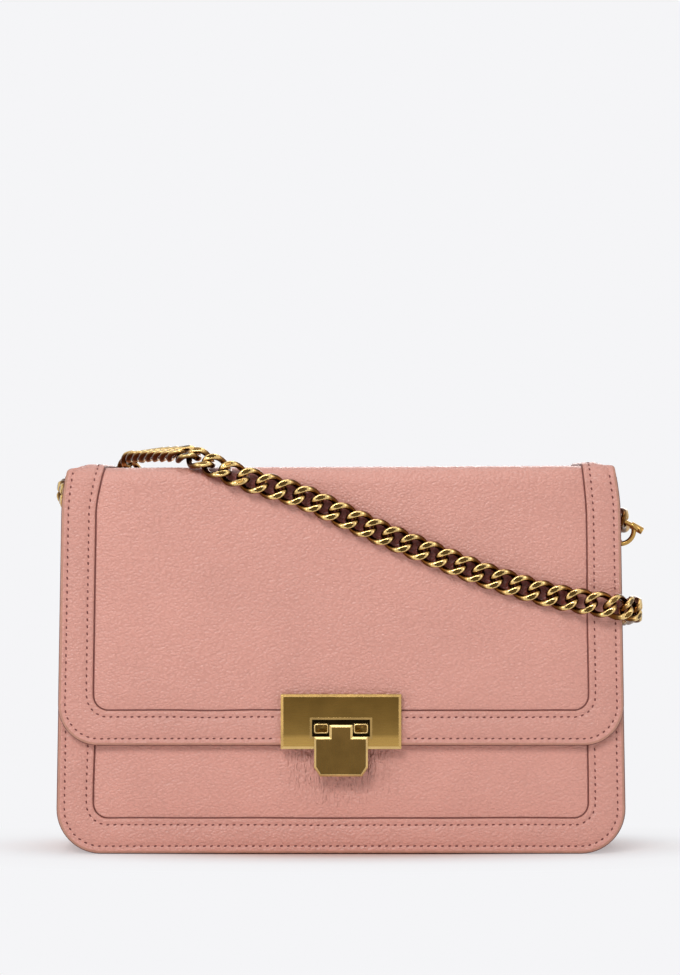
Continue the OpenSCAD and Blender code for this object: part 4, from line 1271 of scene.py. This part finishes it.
for body, rows in stitches.items():
    finish_piece(stitch_mesh(f"stitches_{body}", rows), body, "band_leather")

# Hard parts kept from the frame, each with its material and the width of its soft edges, and the
# materials of their faces, as indices. The soft edges of the lock and its lever are painted bright as a
# highlight
OWN, POLISHED_HIGHLIGHT, SLOT_SHADE_FACE, BEVEL_HIGHLIGHT_FACE = range(4)
kept = {
    "lock_plate": (LOCK, 0.22), "lock_back_plate": (LOCK, 0.2), "lock_lever": (LEVER, 0.22),
    "lock_pin": (PIN, 0.1), "lock_screws": (PIN, 0.1), "lock_catch": (PIN, 0.2),
    "lock_magnet": (MAGNET, 0.1), "ring_left": (RING, 0.15), "ring_right": (RING, 0.15),
    "ring_pin_left": (RING, 0.15), "ring_pin_right": (RING, 0.15),
    "front_board": (BOARD, 0), "back_board": (BOARD, 0), "base_board": (BOARD, 0),
}
for name, (material, width) in kept.items():
    node = nodes[name]
    node.data.materials.clear()
    for m in (material, RIM_HIGHLIGHT, SLOT_SHADE, BEVEL):
        node.data.materials.append(m)
    weld = node.modifiers.new("joined_edges", "WELD")
    weld.merge_threshold = 0.001 * MM
    if width:
        soften(node, width, 32)
        if material in (LOCK, LEVER):
            node.modifiers["soft_edges"].material = POLISHED_HIGHLIGHT

# The plate's slot, the y of its front and of the slot's raised rim, and the top of the tongue
SLOT_HALF_W, SLOT_LOW, SLOT_HIGH = 15, 53, 63.5
PLATE_Y, SLOT_RIM_Y = (-43.5, -43), (-43.9, -43.5)
TONGUE_TOP = 59.8
# Faces take lighter and darker copies of the gold by where they face: painted shade in the slot's hollow,
# a painted highlight on the slot's rim and other bevels, and a brighter painted highlight on bevels facing
# down and the tongue's lower bevels
for face in nodes["lock_plate"].data.polygons:
    x, y, z = (c / MM for c in face.center)
    if abs(x) < SLOT_HALF_W and SLOT_LOW < z < SLOT_HIGH:
        front = face.normal.y < -0.95
        if front and SLOT_RIM_Y[0] < y < SLOT_RIM_Y[1]:
            face.material_index = BEVEL_HIGHLIGHT_FACE
        elif not (front and PLATE_Y[0] < y < PLATE_Y[1]):
            face.material_index = SLOT_SHADE_FACE
    elif -0.97 < face.normal.y < -0.1:
        face.material_index = POLISHED_HIGHLIGHT if face.normal.z < -0.3 else BEVEL_HIGHLIGHT_FACE
for face in nodes["lock_lever"].data.polygons:
    if -0.95 < face.normal.y < -0.1 and face.center.z / MM < TONGUE_TOP:
        face.material_index = POLISHED_HIGHLIGHT

# The knuckles' rounded faces, whose polished edges are painted bright as a highlight
KNUCKLE_X, KNUCKLE_Z, KNUCKLE_HALF_W, KNUCKLE_HALF_H, KNUCKLE_R = 8.97, 58.0, 3.32, 2.28, 1.15
KNUCKLE_STEPS = 32


def rounded_ring(middle, inset, y):
    """A ring of points round a knuckle's face, some way in from its edge."""
    half_w, half_h = KNUCKLE_HALF_W - inset, KNUCKLE_HALF_H - inset
    radius = max(KNUCKLE_R - 0.6 * inset, 0.3)
    ring = []
    for k in range(KNUCKLE_STEPS):
        a = 2 * math.pi * (k + 0.5) / KNUCKLE_STEPS
        cx, cz = math.copysign(half_w - radius, math.cos(a)), math.copysign(half_h - radius, math.sin(a))
        ring.append((middle + cx + radius * math.cos(a), y, KNUCKLE_Z + cz + radius * math.sin(a)))
    return ring


points, faces, indices = [], [], []
knuckle_profile = ((0, -44.3), (0, -44.62), (0.22, -44.86), (0.48, -44.9), (0.62, -44.84))
for side in (-1, 1):
    start = len(points)
    for inset, y in knuckle_profile:
        points += rounded_ring(side * KNUCKLE_X, inset, y)
    grid = grid_faces(len(knuckle_profile), KNUCKLE_STEPS, wrap=True)
    faces += [tuple(start + v for v in face) for face in grid]
    indices += [POLISHED_HIGHLIGHT] * len(grid)
    last_ring = len(points) - KNUCKLE_STEPS
    faces.append(tuple(last_ring + k for k in range(KNUCKLE_STEPS)))
    indices.append(OWN)
knuckles = new_object("knuckle_faces", points, faces, [LOCK, RIM_HIGHLIGHT], indices)
finish_piece(knuckles, "flap", "lock_gold")

# Paper under the bag. To the camera and in reflections it is evenly pale away from the bag, so that
# only the ground near the bag shows its shade
PALE = linear(245, 245, 247)
radii = [0, 150, 300, 450, 700, 1000, 1600, 3000, 6000, 14000]
turns = np.linspace(0, 2 * math.pi, 65)
floor_points = np.array([[(r * math.cos(a), r * math.sin(a), -0.02) for a in turns] for r in radii])
studio = Shader("studio_paper")
studio.set(Roughness=0.9, Specular_IOR_Level=0.1)
studio.set(Normal=studio.bump(studio.noise(300), 0.02, 0.0002))
reach_out = studio.add("ShaderNodeVectorMath", operation="LENGTH")
studio.link(studio.stretched((0.42, 1.0, 1.0)), reach_out.inputs[0])
distance = reach_out.outputs["Value"]
away = studio.ramp(distance, [(0.04, 0.0), (0.055, 0.4), (0.08, 0.9), (0.11, 1.0)])
# The paper is painted darker and warmer close to the bag, as painted shadow and pink bounce light
studio.set(Base_Color=studio.ramp(
    distance, [(0.04, linear(232, 214, 207)), (0.07, linear(249, 249, 251))]
))
glow = studio.add("ShaderNodeEmission", Color=(*PALE, 1))
studio.evenly_seen(away, studio.bsdf.outputs["BSDF"], glow.outputs["Emission"], "Material Output")
backdrop = new_object("floor", floor_points, grid_faces(len(radii), len(turns)), [studio.material])

# The world is as pale to the camera and in reflections, and lights the bag only a little
world = bpy.data.worlds.new("studio")
scene.world = world
tree = Tree(world)
backgrounds = (tree.nodes["Background"], tree.add("ShaderNodeBackground"))
for background, colour, strength in zip(backgrounds, ((0.97, 0.98, 1.0), PALE), (0.2, 1.0)):
    background.inputs["Color"].default_value = (*colour, 1)
    background.inputs["Strength"].default_value = strength
tree.evenly_seen(None, *[b.outputs["Background"] for b in backgrounds], "World Output")

# Light and camera, in metres. The camera looks straight at the front
lamps = (
    ("key", (-0.5, -1.85, 1.35), (0, 0, 0.1), (0.9, 0.7), 21.9),
    ("left", (-1.28, -0.96, 0.45), (0, 0, 0.12), (0.6, 1.2), 4.6),
    ("right", (1.28, -0.96, 0.45), (0, 0, 0.12), (0.6, 1.2), 3.6),
    ("back", (0.3, 1.9, 0.8), (0, 0, 0.1), (1.0, 0.8), 9.0),
    ("top", (0, 0.2, 2.0), (0, 0.1, 0), (1.2, 1.0), 9.0),
)
for name, place, target, size, power in lamps:
    light = bpy.data.lights.new(name, "AREA")
    light.shape = "RECTANGLE"
    light.size, light.size_y = size
    light.energy = power
    lamp = bpy.data.objects.new(name, light)
    scene.collection.objects.link(lamp)
    lamp.location = place
    lamp.rotation_euler = (Vector(target) - Vector(place)).to_track_quat("-Z", "Y").to_euler()

camera = bpy.data.cameras.new("camera")
camera.lens = 121.3
camera.sensor_width = 36
camera_obj = bpy.data.objects.new("camera", camera)
scene.collection.objects.link(camera_obj)
camera_obj.location = (-0.00046, -1.536, 0.1675)
camera_obj.rotation_euler = (math.radians(90), 0, 0)
scene.camera = camera_obj
scene.view_settings.view_transform = "Standard"
